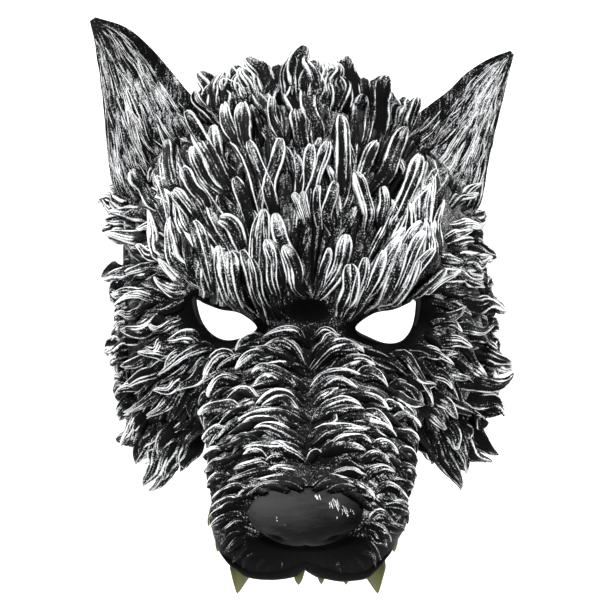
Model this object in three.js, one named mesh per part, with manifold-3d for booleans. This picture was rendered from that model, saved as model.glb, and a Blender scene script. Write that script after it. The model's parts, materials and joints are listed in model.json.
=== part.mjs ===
// Wolf half mask: a hollow moulded shell (face, muzzle, nose, ears and the fur
// tufts of its outline in one piece), separate teeth set behind the upper lip,
// and a flat elastic strap looped through a slot in each temple.
//
// Millimetres, +Z up, the face looks along -Y, +X is the viewer's right.
// Origin: SEAT, the place on the shell's inner face, between the eye openings,
// where it rests on the bridge of the wearer's nose. The tables below are
// written from a point behind it and moved there at the end.

import * as THREE from 'three';
import { mergeVertices } from 'three/addons/utils/BufferGeometryUtils.js';
import Module from 'manifold-3d';

// ---------------------------------------------------------------- sizes
const WALL = 4;                 // moulded wall
const SEAT = new THREE.Vector3(0, -19, 4);
const HEART = new THREE.Vector3(0, 20, -12);  // middle of the hollow, rays start here
const POLE_DROP = 8;            // degrees the middle ray points below the horizon
const COLUMNS_FACE = 19;        // columns a side from the crown to the cheek tip
const COLUMNS_NOTCH = 3;        // columns a side between the cheek tip and the mouth corner
const COLUMNS_JAW = 10;         // columns a side from the mouth corner to the lip cleft
const RINGS_OUT = 20, RINGS_IN = 14;   // rings from the middle ray to the edge
const EVEN_TO = 25;             // degrees from the middle ray within which the rings are round
const HOLLOW_OVER = 4;          // degrees that the hollow runs past the edge
const REACH = 240;              // longest ray
const SWING = { by: 2.5, from: -8, full: -42, fade: -55, gone: -104 };  // muzzle root sits off the centre line
const LEAN = -0.05;             // the crown leans to the left: mm across per mm up

const STRAP_WIDE = 12, STRAP_THICK = 1.2;
const STRAP_Z = 36;             // height of the strap's middle
const SLOT_TALL = 14, SLOT_WIDE = 4.4, SLOT_FROM_EDGE = 8;
const GAP = 0.4;                // between pieces

// Rounded forms that blend into the outer surface. pitch turns the form's nose
// down about X, roll lifts its outer end about Y, both mirrors it.
const FORMS = [
  { form: 'cranium', x: 0,  y: 54,   z: 16,  rx: 88, ry: 82, rz: 110, pitch: 0,  roll: 0,  blend: 0,  both: false },
  { form: 'temple',  x: 58, y: 34,   z: 26,  rx: 31, ry: 42, rz: 60,  pitch: 0,  roll: 0,  blend: 22, both: true },
  { form: 'brow',    x: 33, y: -12,  z: 24,  rx: 38, ry: 20, rz: 15,  pitch: 12, roll: 17, blend: 12, both: true },
  { form: 'cheek',   x: 44, y: 24,   z: -24, rx: 46, ry: 46, rz: 46,  pitch: 0,  roll: 0,  blend: 22, both: true },
  { form: 'jowl',    x: 20, y: -79,  z: -94, rx: 25, ry: 22, rz: 22,  pitch: 20, roll: 0,  blend: 12, both: true },
  { form: 'nose',    x: 0,  y: -101, z: -81, rx: 27, ry: 17, rz: 14.5, pitch: 20, roll: 0, blend: 3,  both: false },
];
// The muzzle's spine runs straight from inside the brow to behind the nose. At
// each place along it: half width, half depth and how far it bows up.
const SPINE = { from_y: 4, from_z: -18, to_y: -81, to_z: -83 };
const MUZZLE = [
  { at: 'root',    along: 0,    wide: 44, deep: 24, bow: 0 },
  { at: 'stop',    along: 0.3,  wide: 50, deep: 25, bow: -1 },
  { at: 'bridge',  along: 0.55, wide: 51, deep: 27, bow: 0 },
  { at: 'whisker', along: 0.8,  wide: 49, deep: 28, bow: 1 },
  { at: 'front',   along: 1,    wide: 43, deep: 22, bow: 0 },
];
const MUZZLE_BLEND = 20;
// Dents pressed into that surface.
const DENTS = [
  { dent: 'eye_socket', x: 42, y: -30, z: 1,   rx: 23, ry: 18, rz: 11, pitch: 0,  roll: 14, blend: 7, both: true },
  { dent: 'crease',     x: 0,  y: -40, z: 5,   rx: 11, ry: 16, rz: 7,  pitch: 0,  roll: 0,  blend: 8, both: false },
  { dent: 'furrow',     x: 0,  y: -74, z: -28, rx: 4,  ry: 44, rz: 7,  pitch: 38, roll: 0,  blend: 6, both: false },
  { dent: 'nostril',    x: 16, y: -117, z: -86, rx: 6, ry: 6,  rz: 4,  pitch: 0,  roll: -20, blend: 3, both: true },
];
// The edge of the shell, right-hand half, crown to lip.
const EDGE = [
  { at: 'crown_mid',    x: 0,  y: 34,   z: 118 },
  { at: 'crown_side',   x: 42, y: 38,   z: 112 },
  { at: 'behind_ear',   x: 72, y: 50,   z: 88 },
  { at: 'temple',       x: 86, y: 57,   z: 52 },
  { at: 'side',         x: 89, y: 58,   z: 5 },
  { at: 'cheek_back',   x: 84, y: 46,   z: -40 },
  { at: 'cheek_low',    x: 79, y: 24,   z: -56 },
  { at: 'cheek_tip',    x: 72, y: 4,    z: -62 },
  { at: 'mouth_corner', x: 49, y: -40,  z: -60 },
  { at: 'lip_back',     x: 47, y: -58,  z: -78 },
  { at: 'lip_side',     x: 45, y: -74,  z: -92 },
  { at: 'lip_corner',   x: 38, y: -87,  z: -103 },
  { at: 'lip_fang',     x: 29, y: -92,  z: -108 },
  { at: 'lip_front',    x: 17, y: -97,  z: -113 },
  { at: 'lip_cleft',    x: 0,  y: -99,  z: -107 },
];
// Eye openings, seen from the front, right-hand one from its inner corner round.
const EYE = [
  { at: 'inner',  x: 24, z: -1 },
  { at: 'brow_1', x: 33, z: 6 },
  { at: 'brow_2', x: 43, z: 8 },
  { at: 'brow_3', x: 50, z: 11 },
  { at: 'outer',  x: 54, z: 13 },
  { at: 'out_low', x: 53, z: 1 },
  { at: 'low_2',  x: 48, z: -7 },
  { at: 'low_1',  x: 40, z: -9 },
  { at: 'low_0',  x: 31, z: -6 },
];
// Ears, base to tip: the outer and inner edge of each section, and how deep its
// cup is. The left ear stands taller than the right one.
const EARS = {
  left: [
    { out_x: -93,  out_z: 58,  in_x: -44, in_z: 100, y: 30, cup: 10 },
    { out_x: -99,  out_z: 70,  in_x: -52, in_z: 110, y: 31, cup: 10 },
    { out_x: -102, out_z: 86,  in_x: -60, in_z: 117, y: 32, cup: 9 },
    { out_x: -104, out_z: 106, in_x: -70, in_z: 128, y: 34, cup: 8 },
    { out_x: -106, out_z: 126, in_x: -82, in_z: 142, y: 37, cup: 6 },
    { out_x: -109, out_z: 144, in_x: -95, in_z: 153, y: 40, cup: 3 },
    { out_x: -111.5, out_z: 157.5, in_x: -109, in_z: 159, y: 42, cup: 0.5 },
  ],
  right: [
    { out_x: 82,  out_z: 52,  in_x: 46, in_z: 98,  y: 30, cup: 10 },
    { out_x: 90,  out_z: 62,  in_x: 55, in_z: 108, y: 31, cup: 10 },
    { out_x: 93,  out_z: 78,  in_x: 64, in_z: 115, y: 32, cup: 9 },
    { out_x: 97,  out_z: 96,  in_x: 73, in_z: 122, y: 34, cup: 8 },
    { out_x: 101, out_z: 113, in_x: 82, in_z: 131, y: 37, cup: 6 },
    { out_x: 105, out_z: 129, in_x: 94, in_z: 139, y: 40, cup: 3 },
    { out_x: 107.5, out_z: 141, in_x: 105.5, in_z: 142.5, y: 42, cup: 0.5 },
  ],
};
const EAR_THICK = 4.5;
// Tufts that break the outline: tip, root and half the width of the root.
const TUFTS = [
  { tuft: 'L01', tip_x: -103, tip_y: 44, tip_z: 72,  root_x: -90, root_y: 32, root_z: 67,  half: 4 },
  { tuft: 'L02', tip_x: -109, tip_y: 46, tip_z: 64,  root_x: -90, root_y: 34, root_z: 60,  half: 5 },
  { tuft: 'L03', tip_x: -107, tip_y: 46, tip_z: 49,  root_x: -90, root_y: 32, root_z: 49,  half: 4.5 },
  { tuft: 'L04', tip_x: -107, tip_y: 46, tip_z: 24,  root_x: -90, root_y: 32, root_z: 23,  half: 5 },
  { tuft: 'L05', tip_x: -102, tip_y: 44, tip_z: 11,  root_x: -89, root_y: 32, root_z: 12,  half: 5 },
  { tuft: 'L06', tip_x: -99,  tip_y: 40, tip_z: -4,  root_x: -87, root_y: 28, root_z: 1,   half: 5.5 },
  { tuft: 'L07', tip_x: -104, tip_y: 36, tip_z: -16, root_x: -86, root_y: 24, root_z: -10, half: 6 },
  { tuft: 'L08', tip_x: -97,  tip_y: 32, tip_z: -25, root_x: -84, root_y: 20, root_z: -19, half: 5.5 },
  { tuft: 'L09', tip_x: -97,  tip_y: 28, tip_z: -39, root_x: -80, root_y: 16, root_z: -31, half: 6 },
  { tuft: 'L10', tip_x: -94,  tip_y: 22, tip_z: -63, root_x: -76, root_y: 10, root_z: -41, half: 6.5 },
  { tuft: 'L11', tip_x: -87,  tip_y: 16, tip_z: -70, root_x: -70, root_y: 4,  root_z: -49, half: 5.5 },
  { tuft: 'L12', tip_x: -81,  tip_y: 10, tip_z: -82, root_x: -64, root_y: -2, root_z: -51, half: 6 },
  { tuft: 'L13', tip_x: -73,  tip_y: 4,  tip_z: -77, root_x: -57, root_y: -8, root_z: -52, half: 5 },
  { tuft: 'R01', tip_x: 88,   tip_y: 44, tip_z: 62,  root_x: 77,  root_y: 32, root_z: 59,  half: 4 },
  { tuft: 'R02', tip_x: 95,   tip_y: 46, tip_z: 55,  root_x: 81,  root_y: 34, root_z: 52,  half: 4.5 },
  { tuft: 'R03', tip_x: 98,   tip_y: 30, tip_z: 33,  root_x: 80,  root_y: 14, root_z: 37,  half: 6 },
  { tuft: 'R04', tip_x: 92,   tip_y: 44, tip_z: 21,  root_x: 81,  root_y: 32, root_z: 22,  half: 4 },
  { tuft: 'R05', tip_x: 104,  tip_y: 44, tip_z: 7,   root_x: 83,  root_y: 32, root_z: 11,  half: 6.5 },
  { tuft: 'R06', tip_x: 100,  tip_y: 40, tip_z: -4,  root_x: 84,  root_y: 28, root_z: -2,  half: 5 },
  { tuft: 'R07', tip_x: 107,  tip_y: 36, tip_z: -24, root_x: 84,  root_y: 24, root_z: -17, half: 7 },
  { tuft: 'R08', tip_x: 99,   tip_y: 30, tip_z: -36, root_x: 83,  root_y: 18, root_z: -31, half: 5 },
  { tuft: 'R09', tip_x: 101,  tip_y: 26, tip_z: -48, root_x: 81,  root_y: 14, root_z: -37, half: 6.5 },
  { tuft: 'R10', tip_x: 96,   tip_y: 20, tip_z: -69, root_x: 77,  root_y: 8,  root_z: -46, half: 6 },
  { tuft: 'R11', tip_x: 82,   tip_y: 12, tip_z: -75, root_x: 70,  root_y: 0,  root_z: -50, half: 5 },
  { tuft: 'R12', tip_x: 77,   tip_y: 6,  tip_z: -83, root_x: 62,  root_y: -6, root_z: -52, half: 6 },
  { tuft: 'T01', tip_x: -52,  tip_y: 40, tip_z: 132, root_x: -47, root_y: 28, root_z: 110, half: 6 },
  { tuft: 'T02', tip_x: -39,  tip_y: 34, tip_z: 133, root_x: -36, root_y: 22, root_z: 113, half: 6 },
  { tuft: 'T03', tip_x: -24,  tip_y: 30, tip_z: 138, root_x: -22, root_y: 18, root_z: 116, half: 7 },
  { tuft: 'T04', tip_x: -2,   tip_y: 28, tip_z: 143, root_x: -2,  root_y: 16, root_z: 118, half: 7 },
  { tuft: 'T05', tip_x: 10,   tip_y: 28, tip_z: 135, root_x: 9,   root_y: 16, root_z: 116, half: 6 },
  { tuft: 'T06', tip_x: 21,   tip_y: 30, tip_z: 138, root_x: 18,  root_y: 18, root_z: 116, half: 6.5 },
  { tuft: 'T07', tip_x: 39,   tip_y: 34, tip_z: 128, root_x: 34,  root_y: 22, root_z: 110, half: 7 },
  { tuft: 'T08', tip_x: 53,   tip_y: 40, tip_z: 117, root_x: 47,  root_y: 28, root_z: 103, half: 6 },
];
// Teeth: where the tip hangs, its length and half width at the root, how far
// the root stands behind the tip, and how flat it is from front to back. Each
// is drawn in from there until it is clear of the wall.
const TEETH = [
  { tooth: 'fang_left',        x: -31, y: -84, z: -119, long: 22, half: 4.6, back: 3, flat: 0.8 },
  { tooth: 'fang_right',       x: 32,  y: -84, z: -119, long: 22, half: 4.6, back: 3, flat: 0.8 },
  { tooth: 'incisor_left_2',   x: -14, y: -92, z: -114, long: 12, half: 2.8, back: 2, flat: 0.7 },
  { tooth: 'incisor_left_1',   x: -5,  y: -92, z: -114, long: 13, half: 3.4, back: 2, flat: 0.7 },
  { tooth: 'incisor_right_1',  x: 7,   y: -92, z: -113, long: 12, half: 2.8, back: 2, flat: 0.7 },
  { tooth: 'incisor_right_2',  x: 18,  y: -92, z: -114, long: 12, half: 2.8, back: 2, flat: 0.7 },
  { tooth: 'premolar_left_1',  x: -40, y: -76, z: -104, long: 17, half: 3.4, back: 1, flat: 0.8 },
  { tooth: 'premolar_left_2',  x: -45, y: -66, z: -94,  long: 17, half: 3.6, back: 1, flat: 0.8 },
  { tooth: 'premolar_left_3',  x: -48, y: -49, z: -76,  long: 12, half: 3.4, back: 1, flat: 0.8 },
  { tooth: 'premolar_right_1', x: 43,  y: -76, z: -104, long: 17, half: 3.4, back: 1, flat: 0.8 },
  { tooth: 'premolar_right_2', x: 49,  y: -66, z: -94,  long: 17, half: 3.6, back: 1, flat: 0.8 },
  { tooth: 'premolar_right_3', x: 54,  y: -49, z: -76,  long: 12, half: 3.4, back: 1, flat: 0.8 },
];
// The strap round the back of the head, right-hand half, from beside the edge
// of the shell to the middle of the back.
const STRAP = [
  { at: 'edge',      x: 87, y: 66 },
  { at: 'over_ear',  x: 84, y: 92 },
  { at: 'side',      x: 76, y: 122 },
  { at: 'turn',      x: 58, y: 147 },
  { at: 'back_side', x: 31, y: 162 },
  { at: 'back',      x: 0,  y: 167 },
];

// ---------------------------------------------------------------- helpers
const wasm = await Module();
wasm.setup();
const V = (x, y, z) => new THREE.Vector3(x, y, z);
const rad = THREE.MathUtils.degToRad;

function solidOf(geometry) {
  const g = new THREE.BufferGeometry().setAttribute('position', geometry.getAttribute('position').clone());
  if (geometry.index) g.setIndex(geometry.index.clone());
  const m = mergeVertices(g, 1e-4);
  const s = new wasm.Manifold(new wasm.Mesh({
    numProp: 3,
    vertProperties: new Float32Array(m.attributes.position.array),
    triVerts: new Uint32Array(m.index.array),
  }));
  if (s.volume() > 0) return s;
  const turned = new Uint32Array(m.index.array);
  for (let i = 0; i < turned.length; i += 3) [turned[i + 1], turned[i + 2]] = [turned[i + 2], turned[i + 1]];
  return new wasm.Manifold(new wasm.Mesh({
    numProp: 3, vertProperties: new Float32Array(m.attributes.position.array), triVerts: turned,
  }));
}
function geometryOf(solid) {
  const m = solid.getMesh();
  const v = new Float32Array(m.numVert * 3);
  for (let i = 0; i < m.numVert; i++) v.set(m.vertProperties.subarray(i * m.numProp, i * m.numProp + 3), i * 3);
  const g = new THREE.BufferGeometry();
  g.setAttribute('position', new THREE.BufferAttribute(v, 3));
  g.setIndex(new THREE.BufferAttribute(new Uint32Array(m.triVerts), 1));
  g.computeVertexNormals();
  return g;
}
// A closed body through rings of equal count, capped at both ends. A ring of
// one point closes to a tip.
function loft(rings) {
  const points = rings.flat(), first = [], at = [];
  let n = 0;
  for (const r of rings) { at.push(n); n += r.length; }
  for (let i = 0; i + 1 < rings.length; i++) {
    const a = rings[i].length, b = rings[i + 1].length, m = Math.max(a, b);
    for (let j = 0; j < m; j++) {
      const k = (j + 1) % m;
      const p = at[i] + (a === 1 ? 0 : j), q = at[i] + (a === 1 ? 0 : k);
      const r = at[i + 1] + (b === 1 ? 0 : j), s = at[i + 1] + (b === 1 ? 0 : k);
      if (p !== q) first.push(p, q, s);
      if (r !== s) first.push(p, s, r);
    }
  }
  for (const [i, turn] of [[0, true], [rings.length - 1, false]]) {
    const count = rings[i].length;
    if (count === 1) continue;
    const middle = rings[i].reduce((s, p) => s.add(p), V(0, 0, 0)).divideScalar(count);
    points.push(middle);
    for (let j = 0; j < count; j++) {
      const p = at[i] + j, q = at[i] + (j + 1) % count;
      first.push(...(turn ? [q, p, n] : [p, q, n]));
    }
    n++;
  }
  const g = new THREE.BufferGeometry().setFromPoints(points);
  g.setIndex(first);
  return g;
}

// ---------------------------------------------------------------- outer surface
function ellipsoid(f, side, x, y, z) {
  let dx = x * side - f.x;
  const dy = y - f.y, dz = z - f.z;
  const cr = Math.cos(rad(f.roll)), sr = Math.sin(rad(f.roll));
  const lx = dx * cr + dz * sr, rz = -dx * sr + dz * cr;
  const cp = Math.cos(rad(f.pitch)), sp = Math.sin(rad(f.pitch));
  const ly = dy * cp + rz * sp, lz = -dy * sp + rz * cp;
  const k0 = Math.hypot(lx / f.rx, ly / f.ry, lz / f.rz);
  const k1 = Math.hypot(lx / f.rx ** 2, ly / f.ry ** 2, lz / f.rz ** 2);
  return k1 < 1e-9 ? -Math.min(f.rx, f.ry, f.rz) : (k0 * (k0 - 1)) / k1;
}
function join(a, b, k) {
  if (k <= 0) return Math.min(a, b);
  const h = Math.max(k - Math.abs(a - b), 0) / k;
  return Math.min(a, b) - h * h * k * 0.25;
}
// The muzzle: an oval swept along its spine.
const spineLong = Math.hypot(SPINE.to_y - SPINE.from_y, SPINE.to_z - SPINE.from_z);
const spineY = (SPINE.to_y - SPINE.from_y) / spineLong, spineZ = (SPINE.to_z - SPINE.from_z) / spineLong;
function muzzle(x, y, z) {
  const s = (y - SPINE.from_y) * spineY + (z - SPINE.from_z) * spineZ;
  const t = THREE.MathUtils.clamp(s / spineLong, 0, 1), past = s - t * spineLong;
  let i = 0;
  while (i + 2 < MUZZLE.length && t > MUZZLE[i + 1].along) i++;
  const a = MUZZLE[i], b = MUZZLE[i + 1];
  const u = THREE.MathUtils.smoothstep(t, a.along, b.along);
  const at = (key) => THREE.MathUtils.lerp(a[key], b[key], u);
  const wide = at('wide'), deep = at('deep');
  const up = (y - SPINE.from_y) * spineZ - (z - SPINE.from_z) * spineY - at('bow');
  const k0 = Math.hypot(x / wide, up / deep, past / deep);
  const k1 = Math.hypot(x / wide ** 2, up / deep ** 2, past / deep ** 2);
  return k1 < 1e-9 ? -deep : (k0 * (k0 - 1)) / k1;
}
// How far outside the outer surface a point is, about.
function outside(x, y, z) {
  let d = muzzle(x, y, z);
  for (const f of FORMS) for (const side of f.both ? [1, -1] : [1])
    d = join(d, ellipsoid(f, side, x, y, z), f.form === 'cranium' ? MUZZLE_BLEND : f.blend);
  for (const f of DENTS) for (const side of f.both ? [1, -1] : [1]) d = -join(-d, ellipsoid(f, side, x, y, z), f.blend);
  return d;
}
// The furthest point along a ray from the heart at which the surface, or the
// one `level` outside it, is crossed.
function reach(dir, level) {
  const f = (t) => outside(HEART.x + dir.x * t, HEART.y + dir.y * t, HEART.z + dir.z * t) - level;
  let far = REACH;
  while (far > 4 && f(far) > 0) far -= 2;
  let near = far;
  far += 2;
  for (let i = 0; i < 24; i++) {
    const mid = (near + far) / 2;
    if (f(mid) > 0) far = mid; else near = mid;
  }
  return near;
}
// The real shell isn't quite even: the muzzle's root sits to one side and the
// crown leans to the other.
function sideways(y, z) {
  const on = THREE.MathUtils.smoothstep(-y, -SWING.from, -SWING.full);
  const off = THREE.MathUtils.smoothstep(-y, -SWING.fade, -SWING.gone);
  return SWING.by * on * (1 - off) + LEAN * Math.max(z, 0);
}
function settle(p) {
  p.x += sideways(p.y, p.z);
  return p;
}
const pole = V(0, -Math.cos(rad(POLE_DROP)), -Math.sin(rad(POLE_DROP)));
const poleUp = V(0, -Math.sin(rad(POLE_DROP)), Math.cos(rad(POLE_DROP)));
const direction = (theta, psi) => V(0, 0, 0)
  .addScaledVector(pole, Math.cos(psi))
  .addScaledVector(poleUp, Math.sin(psi) * Math.cos(theta))
  .add(V(Math.sin(psi) * Math.sin(theta), 0, 0));
const edgeRows = EDGE.map((e) => {
  const d = V(e.x, e.y, e.z).sub(HEART).normalize();
  return { at: e.at, theta: Math.atan2(d.x, d.dot(poleUp)), psi: Math.acos(d.dot(pole)) };
});
function edgePsi(theta) {
  const t = Math.abs(theta);
  for (let i = 0; i + 1 < edgeRows.length; i++) {
    const a = edgeRows[i], b = edgeRows[i + 1];
    if (t <= b.theta) return THREE.MathUtils.lerp(a.psi, b.psi, (t - a.theta) / (b.theta - a.theta));
  }
  return edgeRows.at(-1).psi;
}
const columns = (() => {
  const tip = edgeRows.find((e) => e.at === 'cheek_tip').theta;
  const corner = edgeRows.find((e) => e.at === 'mouth_corner').theta;
  const half = [];
  for (let i = 0; i <= COLUMNS_FACE; i++) half.push((tip * i) / COLUMNS_FACE);
  for (let i = 1; i < COLUMNS_NOTCH; i++) half.push(tip + ((corner - tip) * i) / COLUMNS_NOTCH);
  for (let i = 0; i <= COLUMNS_JAW; i++) half.push(corner + ((Math.PI - corner) * i) / COLUMNS_JAW);
  return [...half, ...half.slice(1, -1).reverse().map((t) => -t)];
})();
// A solid from the heart out to the surface at `level`, within the edge.
function core(level, over, apex, count) {
  const rings = [[settle(HEART.clone().addScaledVector(pole, reach(pole, level)))]];
  const even = Math.round(count * 0.36);
  for (let i = 1; i <= count; i++)
    rings.push(columns.map((theta) => {
      const psi = i <= even ? (rad(EVEN_TO) * i) / even
        : THREE.MathUtils.lerp(rad(EVEN_TO), edgePsi(theta) + rad(over), (i - even) / (count - even));
      const d = direction(theta, psi);
      return settle(HEART.clone().addScaledVector(d, reach(d, level)));
    }));
  return solidOf(loft([...rings, [apex]]));
}

// ---------------------------------------------------------------- the shell
function tuft(row) {
  const tip = V(row.tip_x, row.tip_y, row.tip_z);
  const aim = V(row.root_x, row.root_y, row.root_z).sub(HEART).normalize();
  const root = settle(HEART.clone().addScaledVector(aim, reach(aim, 0) - 1.5));
  const out = aim.clone();
  const along = tip.clone().sub(root);
  const path = new THREE.QuadraticBezierCurve3(
    root.clone().addScaledVector(out, -2), root.clone().addScaledVector(along, 0.45).addScaledVector(out, 2.5), tip);
  const rings = [];
  for (const [t, wide] of [[0, 1.5], [0.35, 1.15], [0.65, 0.72], [0.87, 0.36]]) {
    const p = path.getPoint(t), tangent = path.getTangent(t);
    const across = V(0, 0, 0).crossVectors(tangent, out).normalize();
    const up = V(0, 0, 0).crossVectors(across, tangent).normalize();
    const ring = [];
    for (let j = 0; j < 6; j++) {
      const a = (j / 6) * Math.PI * 2;
      ring.push(p.clone().addScaledVector(across, row.half * wide * Math.cos(a)).addScaledVector(up, row.half * 0.6 * wide * Math.sin(a)));
    }
    rings.push(ring);
  }
  return solidOf(loft([...rings, [tip]]));
}
function ear(rows) {
  const across = 8, rings = [];
  for (const r of rows) {
    const front = [], back = [];
    for (let i = 0; i <= across; i++) {
      const s = i / across, bow = 4 * s * (1 - s);
      const x = THREE.MathUtils.lerp(r.out_x, r.in_x, s), z = THREE.MathUtils.lerp(r.out_z, r.in_z, s);
      const thick = EAR_THICK * (0.45 + 0.55 * bow) * (r.cup < 1 ? 0.4 : 1);
      const y = r.y + r.cup * (bow - 0.5);
      front.push(V(x, y - thick / 2, z));
      back.push(V(x, y + thick / 2, z));
    }
    rings.push([...front, ...back.reverse()]);
  }
  return solidOf(loft(rings));
}
function eyeCutter(side) {
  const shape = new THREE.Shape();
  const points = EYE.map((e) => new THREE.Vector2(e.x, e.z));
  shape.moveTo(points[0].x, points[0].y);
  shape.splineThru([...points.slice(1), points[0]]);
  const g = new THREE.ExtrudeGeometry(shape, { depth: 90, bevelEnabled: false, curveSegments: 2, steps: 1 });
  g.rotateX(Math.PI / 2).translate(0, 35, 0);
  if (side < 0) g.scale(-1, 1, 1);
  return solidOf(g);
}
// Where the strap passes through the wall, behind the temple: the edge of the
// shell there, and the wall's outer and inner face over the strap's width.
function strapSeat(side) {
  const aim = V(side * 88, 57, STRAP_Z).sub(HEART);
  const theta = Math.atan2(aim.x, aim.dot(poleUp));
  const d = direction(theta, edgePsi(theta));
  const edge = settle(HEART.clone().addScaledVector(d, reach(d, 0)));
  const faces = (level) => {
    const found = [];
    for (const y of [edge.y, edge.y - SLOT_FROM_EDGE, edge.y - SLOT_FROM_EDGE - SLOT_WIDE])
      for (const z of [-0.5, 0, 0.5]) {
        const to = V(side * 88, y, STRAP_Z + z * STRAP_WIDE).sub(HEART).normalize();
        found.push(settle(HEART.clone().addScaledVector(to, reach(to, level))).x * side);
      }
    return found;
  };
  return {
    y: edge.y,
    slotY: edge.y - SLOT_FROM_EDGE - SLOT_WIDE / 2,
    outX: side * (Math.max(...faces(0)) + STRAP_THICK / 2 + 2 * GAP),
    inX: side * (Math.min(...faces(-WALL)) - STRAP_THICK / 2 - 2 * GAP),
  };
}
function slotCutter(side) {
  const seat = strapSeat(side);
  const g = new THREE.BoxGeometry(40, SLOT_WIDE, SLOT_TALL);
  g.translate(seat.outX, seat.slotY, STRAP_Z);
  return solidOf(g);
}
// A clear notch in the fur round the strap's loop.
function loopClearance(side) {
  const seat = strapSeat(side), deep = SLOT_FROM_EDGE + SLOT_WIDE + 22;
  const g = new THREE.BoxGeometry(24, deep, SLOT_TALL);
  g.translate(seat.outX + side * (12 - STRAP_THICK / 2 - GAP), seat.slotY - SLOT_WIDE / 2 + deep / 2, STRAP_Z);
  return solidOf(g);
}

let furred = core(0, 0, HEART.clone(), RINGS_OUT);
for (const side of [1, -1]) furred = furred.subtract(loopClearance(side));
furred = furred.add(ear(EARS.left)).add(ear(EARS.right));
for (const row of TUFTS) furred = furred.add(tuft(row));
let shell = furred.subtract(core(-WALL, HOLLOW_OVER, HEART.clone().add(V(0, 30, 0)), RINGS_IN));
for (const side of [1, -1]) shell = shell.subtract(eyeCutter(side)).subtract(slotCutter(side));
// slivers left by the cuts are dropped
const largest = (solid) => solid.decompose().sort((a, b) => b.volume() - a.volume())[0];
shell = largest(largest(shell).simplify(0.08));

// ---------------------------------------------------------------- teeth and strap
function tooth(row) {
  const profile = [[0, 0], [0.82, 0], [1, 0.22], [0.86, 0.5], [0.52, 0.8], [0.22, 0.95], [0, 1]]
    .map(([r, h]) => new THREE.Vector2(r * row.half, (1 - h) * row.long));
  const g = new THREE.LatheGeometry(profile.reverse(), 8);
  g.rotateX(Math.PI / 2).scale(1, row.flat, 1);
  const p = g.getAttribute('position');
  for (let i = 0; i < p.count; i++) {
    const up = p.getZ(i) / row.long;
    p.setY(i, p.getY(i) + row.back * up * up);
  }
  return g;
}
// Moves a tooth in from the lip until every point of it within the shell's edge
// keeps the gap to the wall.
function toothSeat(row, g) {
  const p = g.getAttribute('position');
  const inward = V(-row.x + sideways(row.y, row.z), -50 - row.y, 0).normalize();
  for (let away = 0; away < 30; away += 0.25) {
    const at = V(row.x, row.y, row.z).addScaledVector(inward, away);
    let clear = true;
    for (let i = 0; i < p.count && clear; i++) {
      const q = V(p.getX(i), p.getY(i), p.getZ(i)).add(at);
      q.x -= sideways(q.y, q.z);
      const d = q.clone().sub(HEART).normalize();
      const theta = Math.atan2(d.x, d.dot(poleUp)), psi = Math.acos(d.dot(pole));
      if (psi < edgePsi(theta) + rad(1.5) && outside(q.x, q.y, q.z) > -WALL - 2 * GAP) clear = false;
    }
    if (clear) return at;
  }
  throw new Error(`${row.tooth} finds no room`);
}
function band(points, z) {
  const curve = new THREE.CatmullRomCurve3(points.map((p) => V(p.x, p.y, 0)), false, 'centripetal');
  return bandAlong(Array.from({ length: 37 }, (_, i) => curve.getPointAt(i / 36)), z);
}
// A flat band standing on edge along a level path.
function bandAlong(path, z) {
  const rings = path.map((p, i) => {
    const t = path[Math.min(i + 1, path.length - 1)].clone().sub(path[Math.max(i - 1, 0)]).normalize();
    const n = V(t.y, -t.x, 0);
    const h = STRAP_THICK / 2, w = STRAP_WIDE / 2;
    return [[h, -w], [h, w], [-h, w], [-h, -w]].map(([a, b]) => V(p.x, p.y, z + b).addScaledVector(n, a));
  });
  return solidOf(loft(rings));
}
function strap() {
  const right = STRAP.slice(1, -1).map((r) => V(r.x, r.y, 0));
  const r = strapSeat(1), l = strapSeat(-1);
  // along the inside of each wall to its slot, and the plain way round the back
  const inside = (e, side) => [V(e.inX, e.slotY, 0), V(e.inX, e.y - 3, 0), V(e.inX - side * 0.2, e.y + 7, 0)];
  const main = [
    ...inside(l, -1), ...right.map((p) => V(-p.x, p.y, 0)), V(0, STRAP.at(-1).y, 0),
    ...right.reverse(), ...inside(r, 1).reverse(),
  ];
  let whole = band(main, STRAP_Z);
  // each end goes out through the slot, back over the edge and is sewn to itself
  for (const [e, side] of [[r, 1], [l, -1]]) {
    const middle = (e.inX + e.outX) / 2;
    const hook = [
      V(e.inX, e.slotY + 0.5, 0), V(e.inX + side * 0.8, e.slotY, 0), V(middle, e.slotY, 0), V(e.outX - side * 0.8, e.slotY, 0),
      V(e.outX, e.slotY + 0.7, 0), V(e.outX, e.slotY + 4, 0), V(e.outX, e.y, 0), V(e.outX - side * 0.5, e.y + 2.5, 0),
      V(middle + side * 0.5, e.y + 6, 0), V(e.inX + side * 0.9, e.y + 10, 0), V(e.inX - side * 0.2, e.y + 15, 0),
    ];
    const path = new THREE.CatmullRomCurve3(hook, false, 'centripetal');
    whole = whole.add(bandAlong(Array.from({ length: 31 }, (_, i) => path.getPointAt(i / 30)), STRAP_Z));
  }
  return geometryOf(whole);
}

// ---------------------------------------------------------------- assembly
const finish = {
  shell: new THREE.MeshStandardMaterial({ color: 0x2a2a2b, roughness: 0.5, metalness: 0 }),
  tooth: new THREE.MeshStandardMaterial({ color: 0x9a9a55, roughness: 0.35, metalness: 0 }),
  strap: new THREE.MeshStandardMaterial({ color: 0x5c5e5c, roughness: 0.9, metalness: 0 }),
};
const mask = new THREE.Group();
mask.name = 'wolf_mask';
function put(name, geometry, material, at = V(0, 0, 0)) {
  const mesh = new THREE.Mesh(geometry, material);
  mesh.name = name;
  mesh.position.copy(at).sub(SEAT);
  mask.add(mesh);
}
put('mask_shell', geometryOf(shell), finish.shell);
for (const row of TEETH) {
  const g = tooth(row);
  put(row.tooth, geometryOf(solidOf(g)), finish.tooth, toothSeat(row, g));
}
put('strap', strap(), finish.strap);

export default mask;
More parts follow.
